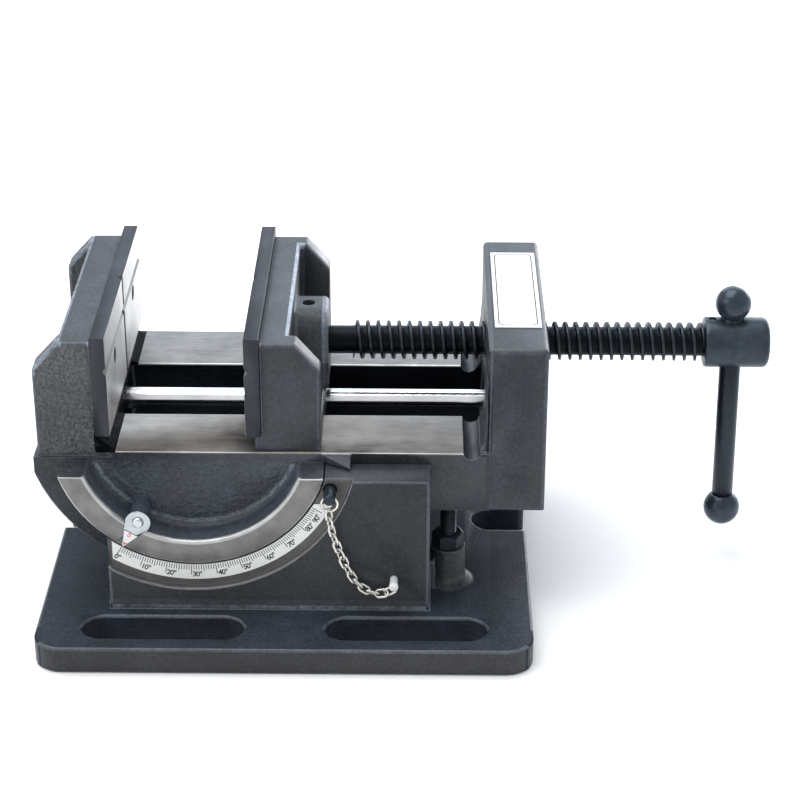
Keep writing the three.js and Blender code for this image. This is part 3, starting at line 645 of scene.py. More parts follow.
def base_zones(g):
    x, y, z = g.xyz()
    rr = g.radius()
    seat = g.both(g.under(rr, 0.0572), g.under(y, -0.0600), g.above(y, -0.0613), g.above(rr, 0.0482))
    wall = g.both(g.above(rr, 0.0566), g.under(rr, 0.0573), g.under(y, -0.0608), g.above(z, 0.0130))
    bore = g.both(g.under(rr, 0.0483), g.above(rr, 0.0475))
    mask = g.either(seat, wall, bore)
    c, r, h = ground_iron(g, (0.13, 0.128, 0.122), 0.0)
    # painted highlight: the seat's outer lip is lighter, lightest by its front edge
    lip = g.both(g.above(rr, 0.0564), g.under(y, -0.0608))
    c = g.mix(lip, c, (0.20, 0.198, 0.19))
    c = g.mix(g.both(lip, g.under(y, -0.0626)), c, (0.44, 0.43, 0.42))
    return mask, c, g.math("ADD", r, 0.14), h


def base_grain(g):
    x, y, z = g.xyz()
    return g.mixf(g.above(z, 0.0105), 0.14, 0.30)


def base_tint(g):
    """The plate's top is dull, the slots' walls are darkened and blued as painted shade, and the cheeks and the front
    edge are plain; a painted highlight runs in patches along the pedestal's foot.
    """
    x, y, z = g.xyz()
    ay = g.math("ABSOLUTE", y)
    top = g.both(g.above(z, 0.0093), g.under(z, 0.0100))
    # painted shade inside the slots
    slot_wall_shade = g.both(g.under(z, 0.0093), g.under(ay, 0.0875), g.under(g.math("ABSOLUTE", x), 0.0840))
    front = g.both(g.under(z, 0.0092), g.above(ay, 0.0875))
    cheek = g.both(g.above(z, 0.0130), g.above(ay, 0.0615))
    patchy_highlight = g.span(g.noise(420, 3, 0.6), 0.36, 0.66, 0.2, 1.0)
    outside = g.either(g.above(ay, 0.06295), g.under(x, -0.06195))
    # painted highlight, in patches, along the pedestal's foot
    foot = g.math("MULTIPLY", g.both(g.above(z, 0.0099), g.under(z, 0.0110), outside), patchy_highlight)
    return (
        (top, (0.86, 0.97, 1.08), 0.16, 0.12),
        (slot_wall_shade, (0.5, 0.6, 0.8), 0.15, 0.10),
        (front, (0.92, 0.82, 0.70), 0.38, 0.0),
        (cheek, (0.76, 0.75, 0.74), 0.40, 0.02),
        (foot, (4.2, 4.1, 4.0), 0.6, 0.04),
    )


cast_body = cast_material("cast_body", body_zones, body_grain, tint=body_tint)
cast_base = cast_material("cast_base", base_zones, base_grain, tint=base_tint)


def jaw_zones(g):
    """The moving jaw's rib chamfers are rubbed bright."""
    x, y, z = g.xyz()
    slope = g.math("ADD", g.math("MULTIPLY", g.math("SUBTRACT", x, 0.0039), 1.1707), g.math("SUBTRACT", z, 0.1044))
    flat = g.both(g.under(g.math("ABSOLUTE", slope), 0.0009), g.above(x, 0.0036), g.above(g.math("ABSOLUTE", y), 0.0390))
    worn = g.span(g.noise(160, 4, 0.6), 0.30, 0.55, 0.55, 1.0)
    c, r, h = ground_iron(g, (0.30, 0.305, 0.32), 0.0)
    return g.math("MULTIPLY", flat, worn), c, g.math("ADD", r, 0.16), h


def jaw_grain(g):
    return g.mixf(g.above(g.xyz()[2], 0.1038), 0.24, 0.10)


def jaw_edge_tint(g):
    """Painted highlights, in patches, on the edges: the ridge behind the wall, the screw boss's end and the seam by the
    plate.
    """
    x, y, z = g.xyz()
    ay = g.math("ABSOLUTE", y)
    patchy_highlight = g.span(g.noise(150, 3, 0.6), 0.34, 0.60, 0.65, 1.0)
    ridge = g.both(g.above(x, -0.0005), g.under(x, 0.0030), g.above(z, 0.1025), g.under(ay, 0.0415))
    boss = g.both(g.above(x, 0.0100), g.under(ay, 0.0135), g.above(z, 0.0800))
    seam = g.both(g.under(x, -0.0077), g.above(z, 0.0710))
    return (
        (g.math("MULTIPLY", ridge, patchy_highlight), (6.0, 6.0, 6.0), 0.6, 0.0),
        (g.math("MULTIPLY", boss, patchy_highlight), (2.6, 2.6, 2.6), 0.6, 0.0),
        (g.math("MULTIPLY", seam, patchy_highlight), (3.6, 3.6, 3.7), 0.6, 0.0),
    )


cast_jaw = cast_material("cast_jaw", jaw_zones, jaw_grain)
cast_jaw_edge = cast_material("cast_jaw_edge", jaw_zones, lambda g: 0.22, lift=1.2, tint=jaw_edge_tint)


def base_edge_tint(g):
    """The slots' outer lips are darker and bluer."""
    x, y, z = g.xyz()
    ay = g.math("ABSOLUTE", y)
    lip = g.both(g.above(ay, 0.0768), g.under(ay, 0.0862), g.above(z, 0.0070))
    return ((lip, (0.40, 0.42, 0.46), 0.1, 0.20),)


cast_base_edge = cast_material("cast_base_edge", None, lambda g: 0.22, lift=1.2, tint=base_edge_tint)


def edge_zones(tones):
    def zones(g):
        x, y, z = g.xyz()
        ay = g.math("ABSOLUTE", y)
        rr = g.radius()
        ways = g.both(g.above(z, 0.0631), g.under(z, 0.0640), g.above(ay, 0.0196), g.under(ay, 0.0492), g.above(x, -0.0590), g.under(x, 0.0616))
        rim = g.both(g.above(ay, 0.0600), g.above(rr, 0.0385), g.under(rr, 0.0484), g.under(z, 0.0602))
        c, r, h = ground_iron(g, (0.52, 0.52, 0.51), 0.0)
        return g.either(ways, rim), c, r, h

    return zones


def body_edge_tint(g):
    """Painted highlights, in patches, along the fixed jaw's edges by the plate and at its back; painted shade darkens
    the space under the plate at its foot.
    """
    x, y, z = g.xyz()
    patchy_highlight = g.span(g.noise(300, 3, 0.6), 0.34, 0.60, 0.35, 1.0)
    seam = g.both(g.above(x, -0.0668), g.under(x, -0.0655), g.above(z, 0.0760))
    back = g.both(g.under(x, -0.0755), g.above(z, 0.0915))
    # painted shade in the space under the fixed plate, at its foot
    plate_gap_shade = g.both(g.above(x, -0.0664), g.under(x, -0.0579), g.above(z, 0.0630), g.under(z, 0.0703))
    return (
        (g.math("MULTIPLY", seam, patchy_highlight), (3.4, 3.4, 3.3), 0.6, 0.0),
        (g.math("MULTIPLY", back, patchy_highlight), (3.0, 3.0, 3.05), 0.6, 0.0),
        (plate_gap_shade, (0.06, 0.06, 0.07), 0.03, 0.1),
    )


cast_body_edge = cast_material("cast_body_edge", edge_zones(None), lambda g: 0.22, lift=1.0, tint=body_edge_tint)


def oxide(name, tone=(0.014, 0.019, 0.025), rough=(0.26, 0.44), grain=0.12, root=0.0):
    """Blackened steel. root is the radius, in metres from the screw's axis, under which it is darker."""
    g = Graph(name)
    smear = g.noise(90, 4, 0.6)
    fine = g.noise(1500, 3, 0.6)
    spots = g.noise(420, 2, 0.5)
    c = g.ramp(
        g.math("ADD", g.math("MULTIPLY", smear, 0.6), g.math("MULTIPLY", spots, 0.4)),
        (0.36, tuple(v * 0.65 for v in tone)),
        (0.52, tone),
        (0.74, tuple(v * 1.9 for v in tone)),
    )
    level = 0.55
    if root:
        deep = g.under(g.vec("LENGTH", g.vec("SUBTRACT", g.vec("MULTIPLY", g.obj, (0, 1, 1)), (0, 0, SCREW_Z * MM))), root)
        c = g.mix(deep, c, g.mix(1.0, c, (0.30, 0.30, 0.30), "MULTIPLY"))
        level = g.mixf(deep, 0.55, 0.12)
    g.set(
        Base_Color=c,
        Metallic=0.35,
        Roughness=g.span(g.math("ADD", g.math("MULTIPLY", smear, 0.5), g.math("MULTIPLY", fine, 0.5)), 0.35, 0.65, *rough),
        Specular_IOR_Level=level,
        Specular_Tint=(0.80, 0.90, 1.0),
        Normal=g.bump(g.math("ADD", g.math("MULTIPLY", fine, 0.4), spots), grain, 0.0001),
    )
    return g.mat


black_oxide = oxide("black_oxide")
black_thread = oxide("black_thread", root=0.0062)
black_handle = oxide("black_handle", tone=(0.027, 0.037, 0.051), rough=(0.20, 0.34), grain=0.10)
black_bar = oxide("black_bar", tone=(0.010, 0.013, 0.019), rough=(0.24, 0.38), grain=0.10)
black_head = oxide("black_head", tone=(0.026, 0.035, 0.046), rough=(0.26, 0.44), grain=0.12)
black_dull = oxide("black_dull", tone=(0.014, 0.016, 0.020), rough=(0.42, 0.62), grain=0.25)


def plated(name, tone=(0.80, 0.79, 0.77), rough=(0.10, 0.26), metallic=1.0, wave=0.0):
    g = Graph(name)
    n = g.noise(300, 4, 0.6)
    b = g.noise(1800, 2, 0.5)
    g.set(
        Base_Color=g.ramp(n, (0.3, tuple(v * 0.8 for v in tone)), (0.7, tone)),
        Metallic=metallic,
        Roughness=g.span(b, 0.3, 0.7, *rough),
        Normal=g.bump(g.noise(190, 1, 0.4), wave, 0.0006) if wave else g.bump(n, 0.06, 0.0001),
    )
    return g.mat


plated_steel = plated("plated_steel", (0.62, 0.64, 0.66), (0.12, 0.30))
chain_steel = plated("chain_steel", (0.82, 0.80, 0.745), (0.14, 0.28), 0.88)
zinc = plated("zinc", (0.96, 0.96, 0.95), (0.30, 0.42), 0.05)
pointer_steel = plated("pointer_steel", (0.50, 0.53, 0.56), (0.07, 0.18), wave=0.5)


def rod_material():
    g = Graph("polished_rod")
    rings = g.noise(1.0, 3, 0.6, vector=g.mapped((2200, 60, 60)))
    mott = g.noise(70, 4, 0.6)
    g.set(
        Base_Color=g.ramp(mott, (0.32, (0.78, 0.78, 0.78)), (0.62, (0.95, 0.95, 0.95))),
        Metallic=1.0,
        Roughness=g.span(g.math("ADD", g.math("MULTIPLY", rings, 0.4), g.math("MULTIPLY", mott, 0.6)), 0.35, 0.65, 0.13, 0.22),
        Normal=g.bump(rings, 0.05, 0.0001),
    )
    return g.mat


bright_rod = rod_material()


def plate_material(name, face_x, side):
    """Blackened steel with one ground face: side is the way it looks along X."""
    g = Graph(name)
    x, y, z = g.xyz()
    face = g.above(x, (face_x - 1.34) * MM) if side > 0 else g.under(x, (face_x + 1.34) * MM)
    face = g.both(face, g.under(g.math("ABSOLUTE", y), 0.0498), g.above(z, 0.0701), g.under(z, 0.1069))
    lines = g.noise(1.0, 4, 0.65, vector=g.mapped((160, 160, 3000)))
    mott = g.noise(55, 3, 0.5)
    ground = g.ramp(
        g.math("ADD", g.math("MULTIPLY", lines, 0.4), g.math("MULTIPLY", mott, 0.6)),
        (0.36, (0.58, 0.575, 0.575)),
        (0.64, (0.80, 0.795, 0.795)),
    )
    # the grooves are cut, not ground
    deep = g.under(x, (face_x - 0.08) * MM) if side > 0 else g.above(x, (face_x + 0.08) * MM)
    ground = g.mix(deep, ground, (0.16, 0.165, 0.17))
    fine = g.noise(1400, 3, 0.6)
    smear = g.noise(45, 4, 0.6)
    dark = g.ramp(smear, (0.34, (0.012, 0.015, 0.020)), (0.52, (0.018, 0.021, 0.028)), (0.70, (0.034, 0.038, 0.046)))
    upper = g.above(z, 0.10685)
    g.set(
        Base_Color=g.mix(face, dark, ground),
        Metallic=g.mixf(face, g.mixf(upper, 0.25, 0.0), 1.0),
        Specular_IOR_Level=g.mixf(upper, 0.5, 0.16),
        Roughness=g.mixf(face, g.span(fine, 0.3, 0.7, 0.34, 0.52), g.span(lines, 0.3, 0.7, 0.48, 0.60)),
        Normal=g.bump(g.mixf(face, fine, lines), g.mixf(face, 0.16, 0.08), 0.0001),
    )
    return g.mat


fixed_plate_mat = plate_material("fixed_plate_steel", -60.5, 1)
moving_plate_mat = plate_material("moving_plate_steel", -13.7, -1)


def printed_white(name, tone=(0.83, 0.83, 0.815)):
    g = Graph(name)
    n = g.noise(60, 4, 0.55)
    f = g.noise(1600, 2, 0.5)
    g.set(
        Base_Color=g.ramp(n, (0.30, tuple(v * 0.90 for v in tone)), (0.62, tone)),
        Roughness=g.span(f, 0.3, 0.7, 0.30, 0.45),
        Normal=g.bump(f, 0.05, 0.00005),
    )
    return g.mat


scale_white = printed_white("scale_white")
label_white = printed_white("label_white", (0.90, 0.90, 0.895))


def ink(name, tone):
    g = Graph(name)
    n = g.noise(900, 3, 0.6)
    g.set(
        Base_Color=g.ramp(n, (0.30, tone), (0.75, tuple(min(1, v * 1.7 + 0.01) for v in tone))),
        Roughness=g.span(n, 0.3, 0.7, 0.45, 0.6),
    )
    return g.mat


black_ink = ink("black_ink", (0.018, 0.018, 0.022))
red_ink = ink("red_ink", (0.50, 0.04, 0.035))


# ------------------------------------------------------------------------------------------
# the keeper chain: it hangs free from the pin's ring to the peg on the cheek
# ------------------------------------------------------------------------------------------
CHAIN_Y = -66.8
LINK_L, LINK_W, WIRE = 5.3, 3.5, 0.43
CHAIN_ROUTE = [
    (15.3, 51.9), (15.4, 49.0), (15.9, 45.2), (16.8, 41.1), (18.0, 37.1), (19.3, 33.4), (20.7, 29.7),
    (22.3, 26.2), (24.2, 22.9), (26.7, 20.2), (29.8, 18.4), (33.2, 17.9), (36.2, 18.9), (38.6, 20.6),
]


def smooth_route(points, fine=40):
    """Points close together on a smooth curve through the given ones."""
    out = []
    for i in range(len(points) - 1):
        p0, p1 = points[max(0, i - 1)], points[i]
        p2, p3 = points[i + 1], points[min(len(points) - 1, i + 2)]
        for k in range(fine):
            t = k / fine
            out.append(
                tuple(
                    0.5 * (2 * b + (c - a) * t + (2 * a - 5 * b + 4 * c - d) * t * t + (3 * b - a - 3 * c + d) * t ** 3)
                    for a, b, c, d in zip(p0, p1, p2, p3)
                )
            )
    return out + [points[-1]]


ROUTE = smooth_route(CHAIN_ROUTE)
ALONG = [0.0]
for p, q in zip(ROUTE, ROUTE[1:]):
    ALONG.append(ALONG[-1] + math.dist(p, q))
CHAIN_LENGTH = ALONG[-1]


def on_route(s):
    s = min(max(s, 0.0), CHAIN_LENGTH)
    i = next(k for k in range(1, len(ALONG)) if ALONG[k] >= s)
    t = (s - ALONG[i - 1]) / (ALONG[i] - ALONG[i - 1])
    return tuple(a + (b - a) * t for a, b in zip(ROUTE[i - 1], ROUTE[i]))


def link_mesh(bm, centre, along, face, length=LINK_L, width=LINK_W, wire=WIRE, around=36, section=10):
    """An oval link: along is its long way, face the way that its flat looks."""
    u = Vector(along).normalized()
    n = Vector(face).normalized()
    v = n.cross(u).normalized()
    half = width / 2 - wire
    straight = length / 2 - wire - half
    rings = []
    for k in range(around):
        t = 2 * math.pi * (k + 0.5) / around
        cu, sv = math.cos(t), math.sin(t)
        px = half * cu + (straight if cu > 0 else -straight)
        py = half * sv
        radial = u * cu + v * sv
        ring = []
        for j in range(section):
            a = 2 * math.pi * j / section
            p = u * px + v * py + radial * (wire * math.cos(a)) + n * (wire * math.sin(a))
            ring.append(bm.verts.new((Vector(centre) + p) * MM))
        rings.append(ring)
    for k in range(around):
        a, b = rings[k], rings[(k + 1) % around]
        for j in range(section):
            j2 = (j + 1) % section
            bm.faces.new((a[j], b[j], b[j2], a[j2]))


# links one inner length apart, each turned a quarter from the one before it
LINKS = 14
PITCH = (CHAIN_LENGTH - LINK_L) / (LINKS - 1)
bm = bmesh.new()
for i in range(LINKS):
    s = LINK_L / 2 + PITCH * i
    x, z = on_route(s)
    a, b = on_route(s - LINK_L * 0.4), on_route(s + LINK_L * 0.4)
    d = Vector((b[0] - a[0], 0, b[1] - a[1])).normalized()
    turn = (45 if i % 2 else -45) + 10 * math.sin(i * 2.3)
    if i == LINKS - 1:
        turn = 0  # the last one lies flat, round the peg
    link_mesh(bm, (x, CHAIN_Y, z), d, Matrix.Rotation(math.radians(turn), 3, d) @ Vector((0, 1, 0)))
chain = new_object("keeper_chain", bm, [chain_steel])


# ------------------------------------------------------------------------------------------
# castings
# ------------------------------------------------------------------------------------------
def reach(p):
    return math.hypot(p.x - TILT_X, p.z - TILT_Z)


def cove(r, radius, face_y, side, half_angle, top_z, steps=110, fine=8):
    """A fillet strip about the tilt axis, between a wall at radius r and a face at face_y."""
    prof = [(r + 0.3, side * (face_y - 0.3)), (r + 0.3, side * (face_y + radius))]
    for k in range(fine + 1):
        a = math.pi / 2 * k / fine
        prof.append((r - radius + radius * math.cos(a), side * (face_y + radius - radius * math.sin(a))))
    prof.append((r - radius, side * (face_y - 0.3)))
    bm = bmesh.new()
    rows = []
    for i in range(steps + 1):
        t = math.radians(-half_angle + 2 * half_angle * i / steps)
        rows.append(
            [bm.verts.new(Vector((TILT_X + rr * math.sin(t), yy, TILT_Z - rr * math.cos(t))) * MM) for rr, yy in prof]
        )
    for a, b in zip(rows, rows[1:]):
        for j in range(len(prof)):
            j2 = (j + 1) % len(prof)
            bm.faces.new((a[j], b[j], b[j2], a[j2]))
    bm.faces.new(rows[0])
    bm.faces.new(rows[-1][::-1])
    res = bmesh.ops.bisect_plane(
        bm,
        geom=bm.verts[:] + bm.edges[:] + bm.faces[:],
        plane_co=(0, 0, top_z * MM),
        plane_no=(0, 0, 1),
        clear_outer=True,
    )
    bmesh.ops.holes_fill(bm, edges=[g for g in res["geom_cut"] if isinstance(g, bmesh.types.BMEdge)], sides=0)
    return shade(new_object("cove", bm), 30)


def body_rule(p, e, concave, angle):
    r, ay = reach(p), abs(p.y)
    length = e.calc_length() / MM
    # the ledge about the fixed jaw's foot and the flat behind it
    if p.x < -64 and 58 < p.z < 64.5 and ay > 40:
        return 0.3
    if p.x < -85 and p.z < 64:
        return 0.3
    # ring
    if ay > 61.2:
        if r < 39.6:
            return 0.9
        return 0.45
    if 48.5 < ay < 49.5 and concave and 38.2 < r < 39.8 and p.z < 62:
        return 0
    if 48.5 < ay < 49.5 and concave:
        return 0.25
    if ay > 49.5 and p.x < 10 and p.z < 60.5:
        return 0.4
    # stop lugs
    if p.x > 12 and p.x < 23 and ay > 48.5 and p.z > 60:
        return 0.4
    # ways, bed slot and run-out groove
    if abs(p.z - 63.7) < 0.3 and -58.5 < p.x < 68.5:
        return 0.35
    if 60.5 < p.x < 68 and 61 < p.z < 64.5:
        run = e.verts[0].co - e.verts[1].co
        return -1 if abs(run.y) > 0.9 * run.length and concave else 0.3
    if ay < 20.5 and p.z < 63.5:
        return 0.4 if not concave else 1.0
    # the small holes
    near_screw = math.hypot(p.y, p.z - SCREW_Z) < 7.8
    near_rod = math.hypot(p.y, p.z - 59.7) < 4.8
    if near_screw or near_rod:
        return 0.35
    if p.x < -64 and abs(ay - 26.5) < 3.2 and abs(p.z - 89.9) < 3.2:
        return 0
    # the round underside's rim keeps one width over its short edges too
    if abs(r - 59) < 0.6 and ay > 48 and not concave:
        return 0.8
    if length < 1.3:
        return 0.2
    # block: its front and rear run on into the slab's
    if 66 < p.x < 71 and p.z < 63.4 and ay > 46.5:
        return -1
    if p.x > 67:
        if concave:
            return 0.8
        return 1.5
    if p.x < -57:
        if concave:
            return 1.2
        return 0.35 if abs(p.x + 66) < 0.2 else 1.3
    return 0.8


body = kept_in(bevelled("vise_body_casting", from_cad("vise_body"), body_rule, 1.5, 3, [cast_body, cast_body_edge]), "vise_body")
with_shells(body, cove(39, 3.2, 49, -1, 70, 59.9), cove(39, 3.2, 49, 1, 70, 59.9))


def base_rule(p, e, concave, angle):
    r, ay = reach(p), abs(p.y)
    length = e.calc_length() / MM
    if p.z < 0.2:
        return 0.5 if ay > 88 or abs(p.x) > 84.5 else 0.1
    # the plate's rounded corners run on into its sides
    if p.z < 9.4 and length > 6 and angle < 60:
        return -1
    # round seats
    if p.z > 10 and abs(r - 57) < 0.6 and p.y < -60:
        return 0.2
    if p.z > 10 and abs(r - 48.1) < 0.6:
        return 0.25
    if p.z > 10 and abs(r - 59.4) < 0.6:
        return 0.25
    if 9.5 < p.z < 14.6 and math.hypot(p.x - 56.6, p.y + 43) < 11.5:
        return -1 if p.z > 9.7 else 0
    if abs(p.z - 9.6) < 0.1:
        if concave:
            return 0.4
        return 0.2 if 83 < ay < 84.8 and abs(p.x) < 74 else 0.9
    if 9.7 < p.z < 13 and angle < 60:
        return -1
    if length < 1.4:
        return 0.2
    if concave:
        return 0.8
    if abs(p.z - 60) < 0.2:
        return 0.7
    if p.z > 10 and ay > 62 and (abs(p.x + 62) < 0.5 or abs(p.x - 50) < 0.5):
        return 1.6
    return 0.8


base_cuts = [("y", sy * v) for sy in (-1, 1) for v in (67.6, 76.6, 85.6)] + [
    ("x", sx * v) for sx in (-1, 1) for v in (12.0, 21.3, 62.9, 72.2)
]
base = kept_in(bevelled("base_plate_casting", from_cad("base_casting", planes=base_cuts), base_rule, 1.6, 3, [cast_base, cast_base_edge]), "base_casting")


def foot_fillet(radius=1.4, fine=6):
    """The fillet about the pedestal's foot, open at its right side."""
    path = [((48.8, -63.0), (0, -1)), ((-60.4, -63.0), (0, -1))]
    for k in range(1, 7):
        a = math.radians(90 * k / 6)
        n = (-math.sin(a), -math.cos(a))
        path.append(((-60.4 + 1.6 * n[0], -61.4 + 1.6 * n[1]), n))
    path += [((px, -py), (nx, -ny)) for (px, py), (nx, ny) in path[::-1]]
    prof = [(-0.3, 9.3), (-0.3, 9.6 + radius)]
    for k in range(fine + 1):
        a = math.pi / 2 * k / fine
        prof.append((radius - radius * math.cos(a), 9.6 + radius - radius * math.sin(a)))
    prof.append((radius, 9.3))
    bm = bmesh.new()
    rows = [[bm.verts.new(Vector((px + nx * d, py + ny * d, z)) * MM) for d, z in prof] for (px, py), (nx, ny) in path]
    for a, b in zip(rows, rows[1:]):
        for j in range(len(prof)):
            j2 = (j + 1) % len(prof)
            bm.faces.new((a[j], b[j], b[j2], a[j2]))
    bm.faces.new(rows[0])
    bm.faces.new(rows[-1][::-1])
    return shade(new_object("foot", bm), 30)


with_shells(base, foot_fillet())


def jaw_rule(p, e, concave, angle):
    ay = abs(p.y)
    length = e.calc_length() / MM
    if length < 1.3:
        return 0.2
    if p.x < -8.6:
        return 0.45
    if p.z < 64.5 and ay > 20:
        return 0.35
    if p.z < 64:
        return 0.5
    if abs(p.x + 8.4) < 0.2:
        return 0.35
    if ay < 13 and p.x > 10.5 and p.z > 70.5:
        return 0.1
    if ay < 13 and p.x > 1.5:
        return 1.0 if not concave else 0.7
    if concave:
        return 1.6
    return 1.2


jaw = kept_in(bevelled("moving_jaw_body", from_cad("moving_jaw_casting"), jaw_rule, 1.6, 3, [cast_jaw, cast_jaw_edge]), "moving_jaw_casting")


def boss_end():
    """The screw boss's rounded end, over the steps that draw it in."""
    rows = []
    bm = bmesh.new()
    for x, inset in ((11.15, 0.4), (11.2, -0.02), (11.8, 0.05), (12.3, 0.24), (12.8, 0.62), (13.15, 1.1), (13.35, 1.6), (13.38, 1.9)):
        pts = [(-12 + inset, 71.0)]
        for k in range(17):
            t = math.pi - math.pi / 2 * k / 16
            pts.append((-4 + (8 - inset) * math.cos(t), 90.5 + (8 - inset) * math.sin(t)))
        for k in range(17):
            t = math.pi / 2 - math.pi / 2 * k / 16
            pts.append((4 + (8 - inset) * math.cos(t), 90.5 + (8 - inset) * math.sin(t)))
        pts.append((12 - inset, 71.0))
        rows.append([bm.verts.new(Vector((x, y, z)) * MM) for y, z in pts])
    n = len(rows[0])
    for a, b in zip(rows, rows[1:]):
        for j in range(n):
            j2 = (j + 1) % n
            bm.faces.new((a[j], b[j], b[j2], a[j2]))
    bm.faces.new(rows[0])
    bm.faces.new(rows[-1][::-1])
    bmesh.ops.recalc_face_normals(bm, faces=bm.faces)
    # the whole end takes the edge paint, with its painted highlight
    for f in bm.faces:
        f.material_index = 1
    return shade(new_object("boss_end", bm), 40)


with_shells(jaw, boss_end())

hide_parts("vise_body"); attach(body, "tilting_body")
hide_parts("base_casting"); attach(base, "base")
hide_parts("moving_jaw_casting"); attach(jaw, "moving_jaw")

# jaw plates
for node, name, mat, ride_on in (
    ("fixed_jaw_plate", "fixed_plate_ground", fixed_plate_mat, "tilting_body"),
    ("moving_jaw_plate", "moving_plate_ground", moving_plate_mat, "moving_jaw"),
):
    o = bevelled(name, from_cad(node), lambda p, e, c, a: 0.0 if e.calc_length() < 1.2 * MM else (0.12 if c else 0.35), 0.35, 2, [mat])
    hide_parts(node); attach(o, ride_on)


# ------------------------------------------------------------------------------------------
# screw, head and handle
# ------------------------------------------------------------------------------------------
thread = helicoid(6.98, 5.15, 3.75, 22.0, 148.0, 0.78, 0.50, steps=40, axis="x", c=(0, SCREW_Z))
screw = new_object("feed_screw_threaded", thread, [black_thread], auto=40)
shank = new_object(
    "shank",
    lathe([(0, -1.45), (4.4, -1.45), (5.05, -0.8), (5.05, 3.6), (3.35, 3.9), (3.35, 8.3), (5.05, 8.6), (5.05, 22.4), (0, 22.4)], "x", 72, (0, SCREW_Z)),
)
tail = new_object(
    "tail",
    lathe([(0, 147.6), (5.05, 147.6), (5.05, 153.1), (4.6, 153.5), (0, 153.5)], "x", 72, (0, SCREW_Z)),
)
for o in (shank, tail):
    shade(o, 40)
with_shells(screw, shank, tail)
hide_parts("feed_screw"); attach(screw, "screw")

head = new_object(
    "screw_head_turned",
    lathe(
        [(0, 148.5), (8.2, 148.5), (8.75, 148.7), (9.05, 149.3), (9.1, 150.0), (9.1, 169.4), (9.0, 170.3), (8.6, 171.0), (7.6, 171.6), (6.2, 171.85), (0, 171.9)],
        "x", 128, (0, SCREW_Z),
    ),
    [black_head],
)
BAR = Matrix.Translation(Vector((158.6, 0, SCREW_Z)) * MM) @ Matrix.Rotation(math.radians(-6), 4, "X")
cross = new_object("cross", moved(lathe([(0, -20), (4.15, -20), (4.15, 20), (0, 20)], "z", 64), BAR))
bore = new_object("bore", lathe([(0, 147), (5.4, 147), (5.4, 154), (0, 154)], "x", 64, (0, SCREW_Z)))
pinhole = new_object("pinhole", lathe([(0, 70), (1.45, 70), (1.45, 100), (0, 100)], "z", 32, (151.3, 0)))
carve(head, cross, bore, pinhole)
shade(head, 34)
bev = head.modifiers.new("edge", "BEVEL")
bev.limit_method = "ANGLE"
bev.angle_limit = math.radians(40)
bev.width = 0.28 * MM
bev.segments = 2
bev.use_clamp_overlap = True
baked(head)
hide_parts("screw_head"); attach(head, "screw")


def ball(name, z, r, neck):
    """A ball with a flat collar where the bar enters; neck is +1 where the bar comes from above."""
    prof = []
    flat = math.sqrt(r * r - 4.1 ** 2)
    limit = math.acos(flat / r)
    for k in range(33):
        t = limit + (math.pi - limit) * k / 32
        prof.append((r * math.sin(t), z + neck * r * math.cos(t)))
    prof[-1] = (0, prof[-1][1])
    prof = [(0, z + neck * (flat - 0.02)), (3.6, z + neck * (flat + 0.02))] + prof
    if neck < 0:
        prof = prof[::-1]
    o = new_object(name, moved(lathe(prof, "z", 72), BAR), [black_handle])
    shade(o, 50)
    return o


top_ball = ball("handle_ball_upper", 14.6, 6.4, -1)
low_ball = ball("handle_ball_lower", -64.7, 6.6, 1)
bar = new_object(
    "handle_rod",
    moved(
        lathe([(0, -59.4), (3.5, -59.4), (3.78, -59.1), (3.78, 9.2), (3.5, 9.5), (0, 9.5)], "z", 72),
        BAR,
    ),
    [black_bar],
)
shade(bar, 50)
for o, node in ((top_ball, "handle_ball_top"), (low_ball, "handle_ball_bottom"), (bar, "handle_bar")):
    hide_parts(node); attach(o, "handle")

# guide rod
rod_piece = new_object(
    "guide_rod_polished",
    lathe([(0, -72), (3.4, -72), (3.98, -71.4), (3.98, 85.4), (3.4, 86), (0, 86)], "x", 96, (0, 59.7)),
    [bright_rod],
)
shade(rod_piece, 30)
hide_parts("guide_rod"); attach(rod_piece, "tilting_body")


# ------------------------------------------------------------------------------------------
# level stop
# ------------------------------------------------------------------------------------------
STOP = (56.6, -43.0)
stud = new_object("level_stop_stud", helicoid(2.88, 2.35, 1.0, 12.0, 39.9, 0.14, 0.36, steps=24, axis="z", c=STOP, round_=0.05), [black_oxide], auto=50)
cap = new_object("cap", lathe([(0, 39.3), (2.5, 39.3), (2.5, 40.0), (2.1, 40.45), (0, 40.5)], "z", 48, STOP))
with_shells(stud, shade(cap, 40))
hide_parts("level_stop_screw"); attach(stud, "level_stop")

hexagon = bmesh.new()
low = [hexagon.verts.new(Vector((STOP[0] + 5.77 * math.cos(math.radians(a)), STOP[1] + 5.77 * math.sin(math.radians(a)), 24.3)) * MM) for a in range(0, 360, 60)]
high = [hexagon.verts.new(v.co + Vector((0, 0, 5 * MM))) for v in low]
hexagon.faces.new(low[::-1]); hexagon.faces.new(high)
for k in range(6):
    hexagon.faces.new((low[k], low[(k + 1) % 6], high[(k + 1) % 6], high[k]))
nut = new_object("level_stop_locknut", hexagon, [black_oxide], smooth=False)
dome = new_object("dome", lathe([(0, 24.3), (5.1, 24.3), (5.75, 24.75), (5.75, 28.75), (4.6, 29.3), (0, 29.3)], "z", 96, STOP))
carve(nut, dome, op="INTERSECT")
carve(nut, new_object("nut_bore", lathe([(0, 20), (3.15, 20), (3.15, 35), (0, 35)], "z", 64, STOP)))
shade(nut, 25)
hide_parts("level_stop_nut"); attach(nut, "base")


